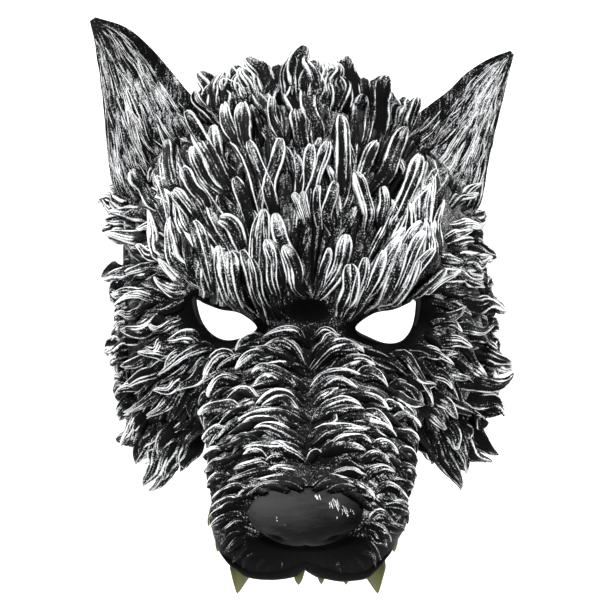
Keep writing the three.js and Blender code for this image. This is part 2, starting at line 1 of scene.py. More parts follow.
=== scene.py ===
"""Looks of the wolf mask: sculpted fur locks over a moulded skin, nose, ears, teeth and elastic strap."""
import json
import math

import bpy
import numpy as np
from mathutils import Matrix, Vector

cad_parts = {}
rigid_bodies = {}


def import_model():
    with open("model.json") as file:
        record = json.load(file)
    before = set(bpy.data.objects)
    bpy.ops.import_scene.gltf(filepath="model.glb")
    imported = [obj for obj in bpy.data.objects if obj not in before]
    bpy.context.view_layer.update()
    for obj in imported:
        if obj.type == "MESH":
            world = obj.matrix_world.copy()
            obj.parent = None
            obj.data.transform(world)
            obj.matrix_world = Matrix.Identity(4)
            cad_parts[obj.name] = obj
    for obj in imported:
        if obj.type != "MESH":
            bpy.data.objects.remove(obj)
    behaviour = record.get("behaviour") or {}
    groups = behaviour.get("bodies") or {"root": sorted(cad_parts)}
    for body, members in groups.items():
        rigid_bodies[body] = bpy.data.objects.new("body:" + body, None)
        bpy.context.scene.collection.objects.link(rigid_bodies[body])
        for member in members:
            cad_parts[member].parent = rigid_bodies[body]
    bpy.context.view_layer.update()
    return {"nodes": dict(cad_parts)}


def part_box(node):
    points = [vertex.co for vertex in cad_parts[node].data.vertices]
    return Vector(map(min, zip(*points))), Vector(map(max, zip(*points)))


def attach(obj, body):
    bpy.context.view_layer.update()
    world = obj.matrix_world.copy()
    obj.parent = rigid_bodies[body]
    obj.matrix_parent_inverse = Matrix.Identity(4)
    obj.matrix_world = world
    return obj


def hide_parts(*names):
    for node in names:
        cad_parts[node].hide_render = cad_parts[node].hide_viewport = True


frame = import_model()
rng = np.random.default_rng(77)

# ---------------------------------------------------------------- sizes, mm
# Points are worked out in the part's own drawing frame and moved by SEAT.
SEAT = np.array([0.0, -19.0, 4.0])
WALL = 4.0
HEART = np.array([0.0, 20.0, -12.0])
POLE_DROP = math.radians(8)
SWING = dict(by=2.5, start=-8.0, full=-42.0, fade=-55.0, gone=-104.0)
LEAN = -0.05
CAMERA = np.array([-3.0, -900.0, 12.5])
FOCAL = 1800.0          # pixels of the 600-pixel frame
SKIN = -1.6             # the skin under the fur
STRAP_WIDE, STRAP_THICK, STRAP_Z = 12.0, 1.2, 36.0

# x, y, z, rx, ry, rz, pitch, roll, blend, both
FORMS = {
    "cranium": (0, 54, 16, 88, 82, 110, 0, 0, 20, 0),
    "temple": (58, 34, 26, 31, 42, 60, 0, 0, 22, 1),
    "brow": (33, -12, 24, 38, 20, 15, 12, 17, 12, 1),
    "cheek": (44, 24, -24, 46, 46, 46, 0, 0, 22, 1),
    "jowl": (20, -79, -94, 25, 22, 22, 20, 0, 12, 1),
    "nose": (0, -101, -81, 27, 17, 14.5, 20, 0, 3, 0),
}
DENTS = {
    "eye_socket": (42, -30, 1, 23, 18, 11, 0, 14, 7, 1),
    "crease": (0, -40, 5, 11, 16, 7, 0, 0, 8, 0),
    "furrow": (0, -74, -28, 4, 44, 7, 38, 0, 6, 0),
    "nostril": (16, -117, -86, 6, 6, 4, 0, -20, 3, 1),
}
PAD = (-0.6, -101, -82.6, 25.4, 18.6, 12.2, 20, 0)
SPINE = (4.0, -18.0, -81.0, -83.0)
# along, wide, deep, bow
MUZZLE = np.array([[0, 44, 24, 0], [0.3, 50, 25, -1], [0.55, 51, 27, 0], [0.8, 49, 28, 1], [1, 43, 22, 0]], float)
EDGE = np.array([
    (0, 34, 118), (42, 38, 112), (72, 50, 88), (86, 57, 52), (89, 58, 5), (84, 46, -40), (79, 24, -56), (72, 4, -62),
    (49, -40, -60), (47, -58, -78), (45, -74, -92), (38, -87, -103), (29, -92, -108), (17, -97, -113), (0, -99, -107)], float)
# Eye openings from the inner corner round; the left one, drawn as if it were the right one, is narrower low down at its outer side.
EYE = {1: np.array([(24, -1), (33, 6), (43, 8), (50, 11), (54, 13), (53, 1), (48, -7), (40, -9), (31, -6)], float),
       -1: np.array([(24, -1), (32, 6), (42, 8), (50, 11), (54, 13), (52, 3), (47, -4), (39.5, -7.5), (31, -6)], float)}
# out_x, out_z, in_x, in_z, y, cup
EARS = {
    "left": np.array([(-93, 58, -44, 100, 30, 10), (-99, 70, -51, 111, 31, 10), (-102, 86, -59, 118, 32, 9), (-104, 106, -68.5, 129.5, 34, 8),
                      (-106.5, 126, -80.5, 143.5, 37, 6), (-109.5, 144, -93.5, 154.5, 40, 3), (-113, 158.5, -110, 160.5, 42, 0.5)], float),
    "right": np.array([(82, 52, 46, 98, 30, 10), (90, 62, 56, 107, 31, 10), (93, 78, 65, 114, 32, 9), (97, 96, 74, 121, 34, 8),
                       (101, 113, 83, 130, 37, 6), (105.5, 129, 95, 138, 40, 3), (109, 141, 107, 143, 42, 0.5)], float),
}
EAR_THICK = 4.5
# tip x, y, z, root x, y, z, half width: the tufts of the outline
TUFTS = np.array([
    (-103, 44, 72, -90, 32, 67, 4), (-109, 46, 64, -90, 34, 60, 5), (-107, 46, 49, -90, 32, 49, 4.5), (-107, 46, 24, -90, 32, 23, 5),
    (-102, 44, 11, -89, 32, 12, 5), (-99, 40, -4, -87, 28, 1, 5.5), (-104, 36, -16, -86, 24, -10, 6), (-97, 32, -25, -84, 20, -19, 5.5),
    (-97, 28, -39, -80, 16, -31, 6), (-94, 22, -63, -76, 10, -41, 6.5), (-87, 16, -70, -70, 4, -49, 5.5), (-81, 10, -82, -64, -2, -51, 6),
    (-73, 4, -77, -57, -8, -52, 5), (-45, 36, 130, -41, 24, 108, 6), (-31, 32, 129, -28, 20, 110, 6), (88, 44, 62, 77, 32, 59, 4), (95, 46, 55, 81, 34, 52, 4.5), (98, 30, 33, 80, 14, 37, 6),
    (92, 44, 21, 81, 32, 22, 4), (104, 44, 7, 83, 32, 11, 6.5), (100, 40, -4, 84, 28, -2, 5), (107, 36, -24, 84, 24, -17, 7),
    (99, 30, -36, 83, 18, -31, 5), (101, 26, -48, 81, 14, -37, 6.5), (96, 20, -69, 77, 8, -46, 6), (82, 12, -75, 70, 0, -50, 5),
    (77, 6, -83, 62, -6, -52, 6), (-52, 40, 132, -47, 28, 110, 6), (-39, 34, 133, -36, 22, 113, 6), (-24, 30, 138, -22, 18, 116, 7),
    (-2, 28, 143, -2, 16, 118, 7), (10, 28, 135, 9, 16, 116, 6), (21, 30, 138, 18, 18, 116, 6.5), (39, 34, 128, 34, 22, 110, 7),
    (53, 40, 117, 47, 28, 103, 6)], float)
# Main locks of the forehead, charted on the front view: tip x, y, root x, y and width, pixels.
CHART = np.array([
    (282, 144, 278, 208, 15), (252, 146, 270, 198, 15), (294, 160, 293, 197, 10), (311, 150, 300, 195, 13), (328, 148, 315, 187, 12),
    (336, 122, 338, 187, 18), (372, 147, 360, 187, 13), (407, 131, 377, 180, 17), (417, 162, 392, 213, 17), (379, 191, 380, 228, 12),
    (351, 177, 363, 220, 15), (332, 185, 335, 230, 12), (320, 190, 322, 227, 9), (303, 195, 310, 222, 10), (292, 198, 302, 223, 10),
    (239, 181, 252, 238, 14), (276, 216, 306, 294, 17), (267, 212, 258, 255, 12), (282, 248, 307, 299, 16), (343, 237, 317, 299, 17),
    (353, 268, 340, 318, 18), (398, 243, 358, 303, 15), (418, 227, 378, 306, 15), (222, 223, 245, 257, 18), (227, 257, 254, 321, 22),
    (268, 242, 280, 297, 15), (247, 110, 250, 143, 18), (227, 112, 237, 143, 13), (217, 132, 233, 172, 15), (200, 135, 225, 183, 20),
    (295, 117, 300, 147, 17), (272, 105, 282, 132, 12), (398, 106, 392, 133, 17), (367, 107, 362, 143, 10), (294, 74, 294, 101, 12),
    (323, 67, 328, 105, 14), (362, 97, 359, 143, 18), (415, 99, 409, 131, 12), (259, 88, 283, 129, 18), (271, 82, 297, 119, 16),
    (307, 87, 319, 123, 18), (382, 77, 377, 131, 22), (315, 75, 317, 101, 8), (193, 95, 219, 121, 12), (172, 147, 178, 187, 13),
    (183, 118, 202, 140, 10), (188, 113, 232, 163, 12), (185, 174, 205, 207, 15), (198, 152, 225, 190, 13), (177, 195, 193, 217, 15),
    (135, 172, 155, 200, 17), (266, 215, 258, 312, 12), (269, 242, 279, 302, 13),
    (326, 250, 314, 300, 10), (366, 262, 346, 322, 13), (250, 262, 272, 320, 12), (217, 252, 236, 314, 12),
    (240, 256, 264, 326, 12), (384, 256, 353, 322, 12), (404, 250, 367, 316, 11), (424, 240, 388, 309, 12), (430, 254, 399, 308, 11),
    (438, 266, 409, 304, 10), (415, 262, 379, 312, 11), (196, 226, 213, 306, 15)], float)
# Pointed tufts of the temples and cheeks, charted in the same way.
SIDE_CHART = np.array([
    (99, 202, 137, 204, 17), (111, 214, 149, 217, 13), (103, 234, 151, 239, 14), (103, 276, 133, 268, 12), (121, 282, 155, 264, 10),
    (114, 298, 155, 291, 12), (116, 308, 159, 300, 10), (114, 317, 143, 308, 10), (121, 332, 163, 309, 16), (107, 354, 137, 337, 14),
    (121, 366, 153, 349, 12), (148, 346, 165, 340, 10), (169, 340, 201, 340, 14), (125, 388, 163, 366, 14), (119, 400, 149, 383, 11),
    (124, 410, 157, 389, 11), (157, 394, 181, 375, 13), (179, 392, 209, 365, 14), (123, 446, 147, 405, 14), (135, 462, 163, 420, 13),
    (145, 486, 176, 430, 16), (159, 478, 180, 440, 11), (141, 424, 163, 413, 11), (149, 414, 173, 391, 12), (168, 432, 191, 422, 11),
    (148, 213, 164, 264, 13), (164, 192, 174, 228, 11), (177, 200, 192, 240, 13), (173, 218, 188, 274, 14), (186, 234, 203, 300, 13),
    (208, 246, 222, 309, 11), (157, 276, 184, 292, 13), (161, 258, 182, 288, 12), (129, 184, 160, 204, 12), (141, 180, 162, 196, 10),
    (140, 226, 160, 240, 12), (138, 246, 162, 256, 12), (150, 322, 180, 318, 11), (140, 352, 170, 358, 11), (165, 372, 190, 356, 12),
    (485, 219, 453, 226, 12), (492, 259, 453, 258, 19), (480, 244, 451, 246, 11), (480, 280, 459, 264, 11), (482, 288, 459, 276, 10),
    (504, 310, 463, 300, 19), (492, 326, 459, 328, 11), (496, 348, 471, 336, 12), (511, 367, 477, 352, 15), (511, 370, 459, 382, 16),
    (498, 392, 471, 388, 12), (503, 416, 467, 400, 18), (492, 460, 459, 424, 17), (466, 470, 443, 440, 15), (460, 490, 429, 454, 16),
    (484, 426, 467, 410, 11), (456, 416, 431, 394, 13), (434, 386, 401, 374, 15), (422, 406, 389, 390, 13), (480, 418, 449, 400, 13),
    (456, 354, 411, 346, 12), (452, 364, 415, 354, 10), (448, 444, 427, 430, 12), (460, 332, 433, 324, 10), (464, 308, 437, 316, 11),
    (440, 199, 445, 256, 11), (458, 268, 425, 286, 13), (456, 278, 419, 293, 11), (434, 222, 426, 264, 12), (422, 220, 412, 274, 12),
    (420, 240, 413, 284, 11), (408, 200, 400, 258, 13), (392, 200, 390, 232, 11), (480, 182, 459, 202, 11), (478, 194, 453, 206, 10),
    (470, 346, 440, 342, 12), (450, 388, 426, 372, 12), (474, 436, 450, 418, 12), (446, 428, 420, 408, 12), (470, 232, 448, 240, 11)], float)
# Arcs of the muzzle, charted in the same way: root x, y, top x, y, tip x, y and width.
ARC_CHART = np.array([
    (303, 345, 290, 330, 263, 338, 8), (306, 369, 284, 341, 262, 350, 8), (265, 340, 248, 337, 235, 353, 8), (306, 374, 275, 350, 252, 354, 9),
    (270, 362, 252, 357, 235, 370, 11), (239, 360, 218, 357, 203, 382, 10), (305, 390, 273, 371, 253, 375, 9), (283, 385, 268, 377, 255, 387, 10),
    (243, 383, 223, 380, 206, 395, 10), (302, 404, 280, 393, 255, 405, 9), (298, 409, 280, 399, 262, 407, 9), (257, 397, 240, 391, 226, 400, 8),
    (240, 413, 220, 405, 198, 414, 11), (305, 420, 268, 413, 238, 422, 9), (283, 425, 263, 419, 242, 424, 9), (305, 443, 278, 428, 256, 431, 10),
    (306, 453, 270, 445, 243, 449, 9), (260, 439, 245, 436, 231, 444, 7), (270, 460, 256, 450, 242, 453, 6), (306, 461, 283, 447, 270, 445, 7),
    (306, 480, 290, 468, 265, 474, 8), (272, 465, 253, 463, 233, 469, 8), (284, 475, 256, 471, 226, 482, 8), (226, 427, 214, 430, 203, 441, 9),
    (224, 447, 213, 450, 202, 459, 9), (232, 459, 217, 462, 203, 473, 8), (228, 476, 216, 479, 205, 488, 8), (245, 486, 230, 487, 211, 499, 8),
    (244, 496, 230, 498, 209, 509, 8), (240, 506, 226, 508, 208, 520, 8), (238, 516, 224, 518, 210, 529, 7),
    (306, 483, 288, 475, 256, 478, 7), (302, 487, 280, 480, 250, 487, 6), (288, 488, 266, 484, 244, 493, 6), (264, 490, 248, 488, 236, 498, 6),
    (311, 340, 326, 331, 337, 339, 7), (313, 352, 326, 338, 340, 338, 6), (311, 368, 342, 346, 364, 353, 11), (336, 368, 357, 360, 376, 366, 10),
    (310, 385, 332, 372, 362, 377, 9), (311, 394, 333, 380, 357, 389, 11), (358, 377, 370, 372, 387, 388, 10), (390, 388, 405, 387, 422, 404, 10),
    (313, 420, 335, 401, 362, 406, 9), (316, 418, 340, 408, 364, 411, 8), (363, 415, 377, 411, 391, 431, 11), (385, 407, 393, 404, 403, 411, 8),
    (310, 437, 336, 425, 367, 430, 10), (310, 445, 332, 432, 349, 428, 8), (328, 452, 350, 438, 371, 444, 9), (316, 458, 340, 446, 366, 451, 9),
    (307, 466, 314, 454, 322, 451, 6), (373, 448, 384, 445, 398, 456, 9), (360, 462, 377, 456, 391, 461, 8), (310, 482, 322, 471, 330, 468, 6),
    (320, 482, 350, 470, 366, 476, 9), (366, 478, 379, 470, 396, 470, 8), (350, 487, 361, 485, 376, 498, 9), (398, 467, 409, 468, 418, 478, 8), (390, 480, 403, 482, 414, 490, 7), (384, 498, 398, 500, 411, 507, 7),
    (378, 491, 392, 488, 410, 499, 8), (384, 506, 398, 506, 411, 515, 8), (372, 520, 384, 516, 398, 525, 8), (388, 526, 397, 526, 407, 533, 7),
    (311, 483, 328, 475, 348, 475, 7), (314, 487, 336, 479, 360, 485, 6), (330, 488, 348, 484, 366, 492, 6), (352, 490, 363, 490, 373, 501, 6),
    (392, 434, 405, 432, 418, 443, 9), (395, 420, 407, 417, 420, 428, 8), (400, 452, 410, 453, 418, 462, 7), (374, 534, 386, 534, 399, 542, 7)], float)
# Low, dark folds that fan out from the nose over the lip: root x, y, top x, y, tip x, y and width.
LIP_CHART = np.array([
    (246, 524, 232, 526, 215, 537, 7), (247, 531, 233, 534, 217, 546, 7), (250, 538, 236, 543, 222, 555, 7), (254, 543, 242, 550, 230, 563, 7),
    (260, 548, 250, 557, 241, 570, 7), (268, 551, 260, 562, 253, 575, 7), (277, 554, 271, 564, 266, 577, 6), (286, 556, 283, 564, 281, 576, 6),
    (366, 526, 380, 528, 396, 538, 7), (365, 534, 380, 538, 395, 549, 7), (362, 541, 376, 547, 390, 559, 7), (357, 546, 369, 554, 381, 567, 7),
    (350, 550, 360, 560, 370, 573, 7), (341, 553, 348, 563, 356, 577, 7), (332, 555, 337, 565, 341, 578, 6), (322, 557, 324, 565, 326, 576, 6)], float)


# ---------------------------------------------------------------- the outer form
def smooth(t, a=0.0, b=1.0):
    u = np.clip((t - a) / (b - a), 0, 1)
    return u * u * (3 - 2 * u)


def unit(v):
    return v / np.maximum(np.linalg.norm(v, axis=-1, keepdims=True), 1e-9)


def join(a, b, k):
    h = np.maximum(k - np.abs(a - b), 0) / k
    return np.minimum(a, b) - h * h * k * 0.25


def oval(form, side, p):
    x, y, z, rx, ry, rz, pitch, roll = form[:8]
    dx, dy, dz = p[..., 0] * side - x, p[..., 1] - y, p[..., 2] - z
    cr, sr = math.cos(math.radians(roll)), math.sin(math.radians(roll))
    cp, sp = math.cos(math.radians(pitch)), math.sin(math.radians(pitch))
    lx, r = dx * cr + dz * sr, -dx * sr + dz * cr
    ly, lz = dy * cp + r * sp, -dy * sp + r * cp
    k0 = np.sqrt((lx / rx) ** 2 + (ly / ry) ** 2 + (lz / rz) ** 2)
    k1 = np.sqrt((lx / rx**2) ** 2 + (ly / ry**2) ** 2 + (lz / rz**2) ** 2) + 1e-9
    return k0 * (k0 - 1) / k1


def spine_place(p):
    """Along the muzzle's spine (0 to 1), past its ends, up from it, and its half width and depth there."""
    fy, fz, ty, tz = SPINE
    long = math.hypot(ty - fy, tz - fz)
    sy, sz = (ty - fy) / long, (tz - fz) / long
    s = (p[..., 1] - fy) * sy + (p[..., 2] - fz) * sz
    t = np.clip(s / long, 0, 1)
    i = np.clip(np.searchsorted(MUZZLE[:, 0], t, side="left") - 1, 0, len(MUZZLE) - 2)
    a, b = MUZZLE[i], MUZZLE[i + 1]
    v = a + (b - a) * smooth((t - a[..., 0]) / (b[..., 0] - a[..., 0]))[..., None]
    up = (p[..., 1] - fy) * sz - (p[..., 2] - fz) * sy - v[..., 3]
    return t, s - t * long, up, v[..., 1], v[..., 2]


def muzzle(p):
    t, past, up, wide, deep = spine_place(p)
    x = p[..., 0]
    k0 = np.sqrt((x / wide) ** 2 + (up / deep) ** 2 + (past / deep) ** 2)
    k1 = np.sqrt((x / wide**2) ** 2 + (up / deep**2) ** 2 + (past / deep**2) ** 2) + 1e-9
    return k0 * (k0 - 1) / k1


def sideways(p):
    y, z = p[..., 1], p[..., 2]
    on = smooth(-y, -SWING["start"], -SWING["full"])
    off = smooth(-y, -SWING["fade"], -SWING["gone"])
    return SWING["by"] * on * (1 - off) + LEAN * np.maximum(z, 0)


def even(p):
    q = np.array(p, float)
    q[..., 0] -= sideways(q)
    return q


def outside(p):
    """About how far p is outside the outer form."""
    q = even(p)
    d = muzzle(q)
    for f in FORMS.values():
        for side in (1, -1) if f[9] else (1,):
            d = join(d, oval(f, side, q), f[8])
    for f in DENTS.values():
        for side in (1, -1) if f[9] else (1,):
            d = -join(-d, oval(f, side, q), f[8])
    return d


def slope(p, e=0.5):
    g = np.zeros_like(p)
    for k in range(3):
        o = np.zeros(3)
        o[k] = e
        g[..., k] = outside(p + o) - outside(p - o)
    return g / (2 * e)


def onto(p, level=0.0, rounds=3):
    p = np.array(p, float)
    for _ in range(rounds):
        g = slope(p)
        s = np.clip((outside(p) - level) / np.maximum((g**2).sum(-1), 0.05), -4, 4)
        p -= g * s[..., None]
    return p


def pinch(p):
    """The lower sides of the muzzle draw in a little, more at the right."""
    q = np.array(p, float)
    x = q[..., 0]
    by = smooth(-q[..., 2], 88, 99) * smooth(np.abs(x), 26, 41) * smooth(-q[..., 1], 58, 68)
    q[..., 0] = x - np.where(x > 0, 3.6, -0.7) * by
    return q


def tuck(v, level=-2.8):
    """Places deeper than the middle of the wall brought back into it."""
    flat = np.array(v, float).reshape(-1, 3)
    deep = np.flatnonzero(outside(flat) < level)
    flat[deep] = onto(flat[deep], level, 6)
    return flat.reshape(v.shape)


POLE = np.array([0, -math.cos(POLE_DROP), -math.sin(POLE_DROP)])
POLE_UP = np.array([0, -math.sin(POLE_DROP), math.cos(POLE_DROP)])


def polar(p):
    d = unit(even(p) - HEART)
    return np.arctan2(d[..., 0], d @ POLE_UP), np.arccos(np.clip(d @ POLE, -1, 1))


_d = unit(EDGE - HEART)
EDGE_THETA, EDGE_PSI = np.arctan2(_d[:, 0], _d @ POLE_UP), np.arccos(_d @ POLE)


def edge_psi(theta):
    return np.interp(np.abs(theta), EDGE_THETA, EDGE_PSI)


def direction(theta, psi):
    d = np.cos(psi)[..., None] * POLE + (np.sin(psi) * np.cos(theta))[..., None] * POLE_UP
    d[..., 0] += np.sin(psi) * np.sin(theta)
    return d


def settle(p):
    q = np.array(p, float)
    q[..., 0] += sideways(q)
    return q


def reach(d, level):
    """The furthest crossing of the form, or of the one `level` outside it, along rays from the heart."""
    shape = d.shape[:-1]
    d = d.reshape(-1, 3)
    level = np.broadcast_to(level, shape).reshape(-1)

    def f(t, i):
        return outside(settle(HEART + d[i] * t[:, None])) - level[i]

    far = np.full(len(d), 190.0)
    live = np.arange(len(d))
    while len(live):
        inside = f(far[live], live) <= 0
        live = live[~inside]
        far[live] -= 2.0
        live = live[far[live] > 4]
    near, far = far.copy(), far + 2.0
    every = np.arange(len(d))
    for _ in range(12):
        mid = (near + far) / 2
        out = f(mid, every) > 0
        far, near = np.where(out, mid, far), np.where(out, near, mid)
    return settle(HEART + d * near[:, None]).reshape(*shape, 3)


def seen(px, py, level=0.0):
    """The first place on the form that the camera sees at a pixel of the 600-pixel frame. NaN where it sees none."""
    px, py = np.asarray(px, float), np.asarray(py, float)
    d = np.stack([(px - 300) / FOCAL, np.ones_like(px), (300 - py) / FOCAL], -1).reshape(-1, 3)
    t = np.full(len(d), 770.0)
    live = np.arange(len(d))
    hit = np.zeros(len(d), bool)
    while len(live):
        inside = outside(CAMERA + d[live] * t[live, None]) <= level
        hit[live[inside]] = True
        live = live[~inside]
        t[live] += 2.0
        live = live[t[live] < 965]
    a, b = t - 2.0, t.copy()
    for _ in range(9):
        mid = (a + b) / 2
        inside = outside(CAMERA + d * mid[:, None]) <= level
        b, a = np.where(inside, mid, b), np.where(inside, a, mid)
    p = CAMERA + d * b[:, None]
    p[~hit] = np.nan
    return p.reshape(*px.shape, 3)


# ---------------------------------------------------------------- outlines
def closed_curve(points, count):
    """A closed Catmull-Rom curve through points."""
    n = len(points)
    t = np.arange(count) * n / count
    i = t.astype(int)
    u = (t - i)[:, None]
    p0, p1, p2, p3 = (points[(i + k) % n] for k in (-1, 0, 1, 2))
    return 0.5 * (2 * p1 + (p2 - p0) * u + (2 * p0 - 5 * p1 + 4 * p2 - p3) * u**2 + (3 * p1 - p0 - 3 * p2 + p3) * u**3)


def open_curve(points, count):
    """A Catmull-Rom curve through rows of numbers, at even steps of the rows."""
    points = np.vstack([2 * points[0] - points[1], points, 2 * points[-1] - points[-2]])
    t = np.linspace(0, len(points) - 3 - 1e-9, count)
    i = t.astype(int)
    u = (t - i).reshape(-1, *([1] * (points.ndim - 1)))
    p0, p1, p2, p3 = (points[i + k] for k in range(4))
    return 0.5 * (2 * p1 + (p2 - p0) * u + (2 * p0 - 5 * p1 + 4 * p2 - p3) * u**2 + (3 * p1 - p0 - 3 * p2 + p3) * u**3)


EYE_LINE = {side: closed_curve(points, 96) for side, points in EYE.items()}


def eye_distance(p):
    """Signed distance on the front view to the nearer eye opening (negative within) and the nearest place on its line."""
    xz = p[..., [0, 2]].reshape(-1, 2)
    best, place = np.full(len(xz), 1e9), np.zeros_like(xz)
    within = np.zeros(len(xz), bool)
    for side, line in EYE_LINE.items():
        mine = np.flatnonzero((xz[:, 0] >= 0) == (side > 0))
        q = xz[mine] * np.array([side, 1.0])
        r0, c0, in0 = np.full(len(q), 1e9), np.zeros_like(q), np.zeros(len(q), bool)
        for s, e in zip(line, np.roll(line, -1, 0)):
            d = e - s
            t = np.clip(((q - s) @ d) / max(d @ d, 1e-9), 0, 1)
            c = s + t[:, None] * d
            r = np.hypot(*(q - c).T)
            near = r < r0
            r0[near], c0[near] = r[near], c[near]
            cross = (s[1] > q[:, 1]) != (e[1] > q[:, 1])
            in0 ^= cross & (q[:, 0] < d[0] * (q[:, 1] - s[1]) / (d[1] if abs(d[1]) > 1e-12 else 1e-12) + s[0])
        best[mine], place[mine], within[mine] = r0, c0 * np.array([side, 1.0]), in0
    best = np.where(within, -best, best)
    best = np.where(p[..., 1].reshape(-1) < 18, best, 99.0)
    return best.reshape(p.shape[:-1]), place.reshape(*p.shape[:-1], 2)


# ---------------------------------------------------------------- meshes
def mesh_object(name, verts, faces, material, attributes=None, sharp=False):
    """faces: an array of quads (or triangles) or a list of such arrays. verts in drawing mm."""
    faces = faces if isinstance(faces, list) else [faces]
    mesh = bpy.data.meshes.new(name)
    v = ((np.asarray(verts, float) - SEAT) * 0.001).astype(np.float32)
    mesh.vertices.add(len(v))
    mesh.vertices.foreach_set("co", v.ravel())
    loops = np.concatenate([f.ravel() for f in faces]).astype(np.int32)
    sizes = np.concatenate([np.full(len(f), f.shape[1]) for f in faces]).astype(np.int32)
    starts = np.concatenate([[0], np.cumsum(sizes)[:-1]]).astype(np.int32)
    mesh.loops.add(len(loops))
    mesh.loops.foreach_set("vertex_index", loops)
    mesh.polygons.add(len(sizes))
    mesh.polygons.foreach_set("loop_start", starts)
    mesh.polygons.foreach_set("use_smooth", np.full(len(sizes), not sharp))
    for key, values in (attributes or {}).items():
        values = np.asarray(values, np.float32)
        kind = "FLOAT" if values.ndim == 1 else "FLOAT_VECTOR"
        a = mesh.attributes.new(key, kind, "POINT")
        a.data.foreach_set("value" if kind == "FLOAT" else "vector", values.ravel())
    mesh.update(calc_edges=True)
    mesh.validate()
    obj = bpy.data.objects.new(name, mesh)
    bpy.context.scene.collection.objects.link(obj)
    mesh.materials.append(material)
    return obj


def grid_faces(rows, cols, wrap=False, flip=False, first=0):
    i, j = np.meshgrid(np.arange(rows - 1), np.arange(cols if wrap else cols - 1), indexing="ij")
    k = (j + 1) % cols
    f = np.stack([i * cols + j, i * cols + k, (i + 1) * cols + k, (i + 1) * cols + j], -1).reshape(-1, 4) + first
    return f[:, ::-1] if flip else f


# ---------------------------------------------------------------- fur locks
FINE = np.array([0, 0.08, 0.17, 0.27, 0.37, 0.47, 0.57, 0.67, 0.76, 0.84, 0.90, 0.95, 0.98, 1.0])
PLAIN = np.array([0, 0.14, 0.3, 0.46, 0.62, 0.76, 0.88, 0.96, 1.0])
BELLY = np.array([0.6, 0.0, -0.6])
FINGER, LEAF, LENS = np.eye(3)


def wander(n, lines, v, size, turns):
    """Smooth random sway of `lines` lines along each of n locks."""
    out = np.zeros((n, len(v), lines))
    for m in (1, 2, 3):
        out += rng.normal(0, 1 / m, (n, 1, lines)) * np.sin(math.pi * (m * turns * v[None, :, None] + rng.uniform(0, 2, (n, 1, lines))))
    return out * size


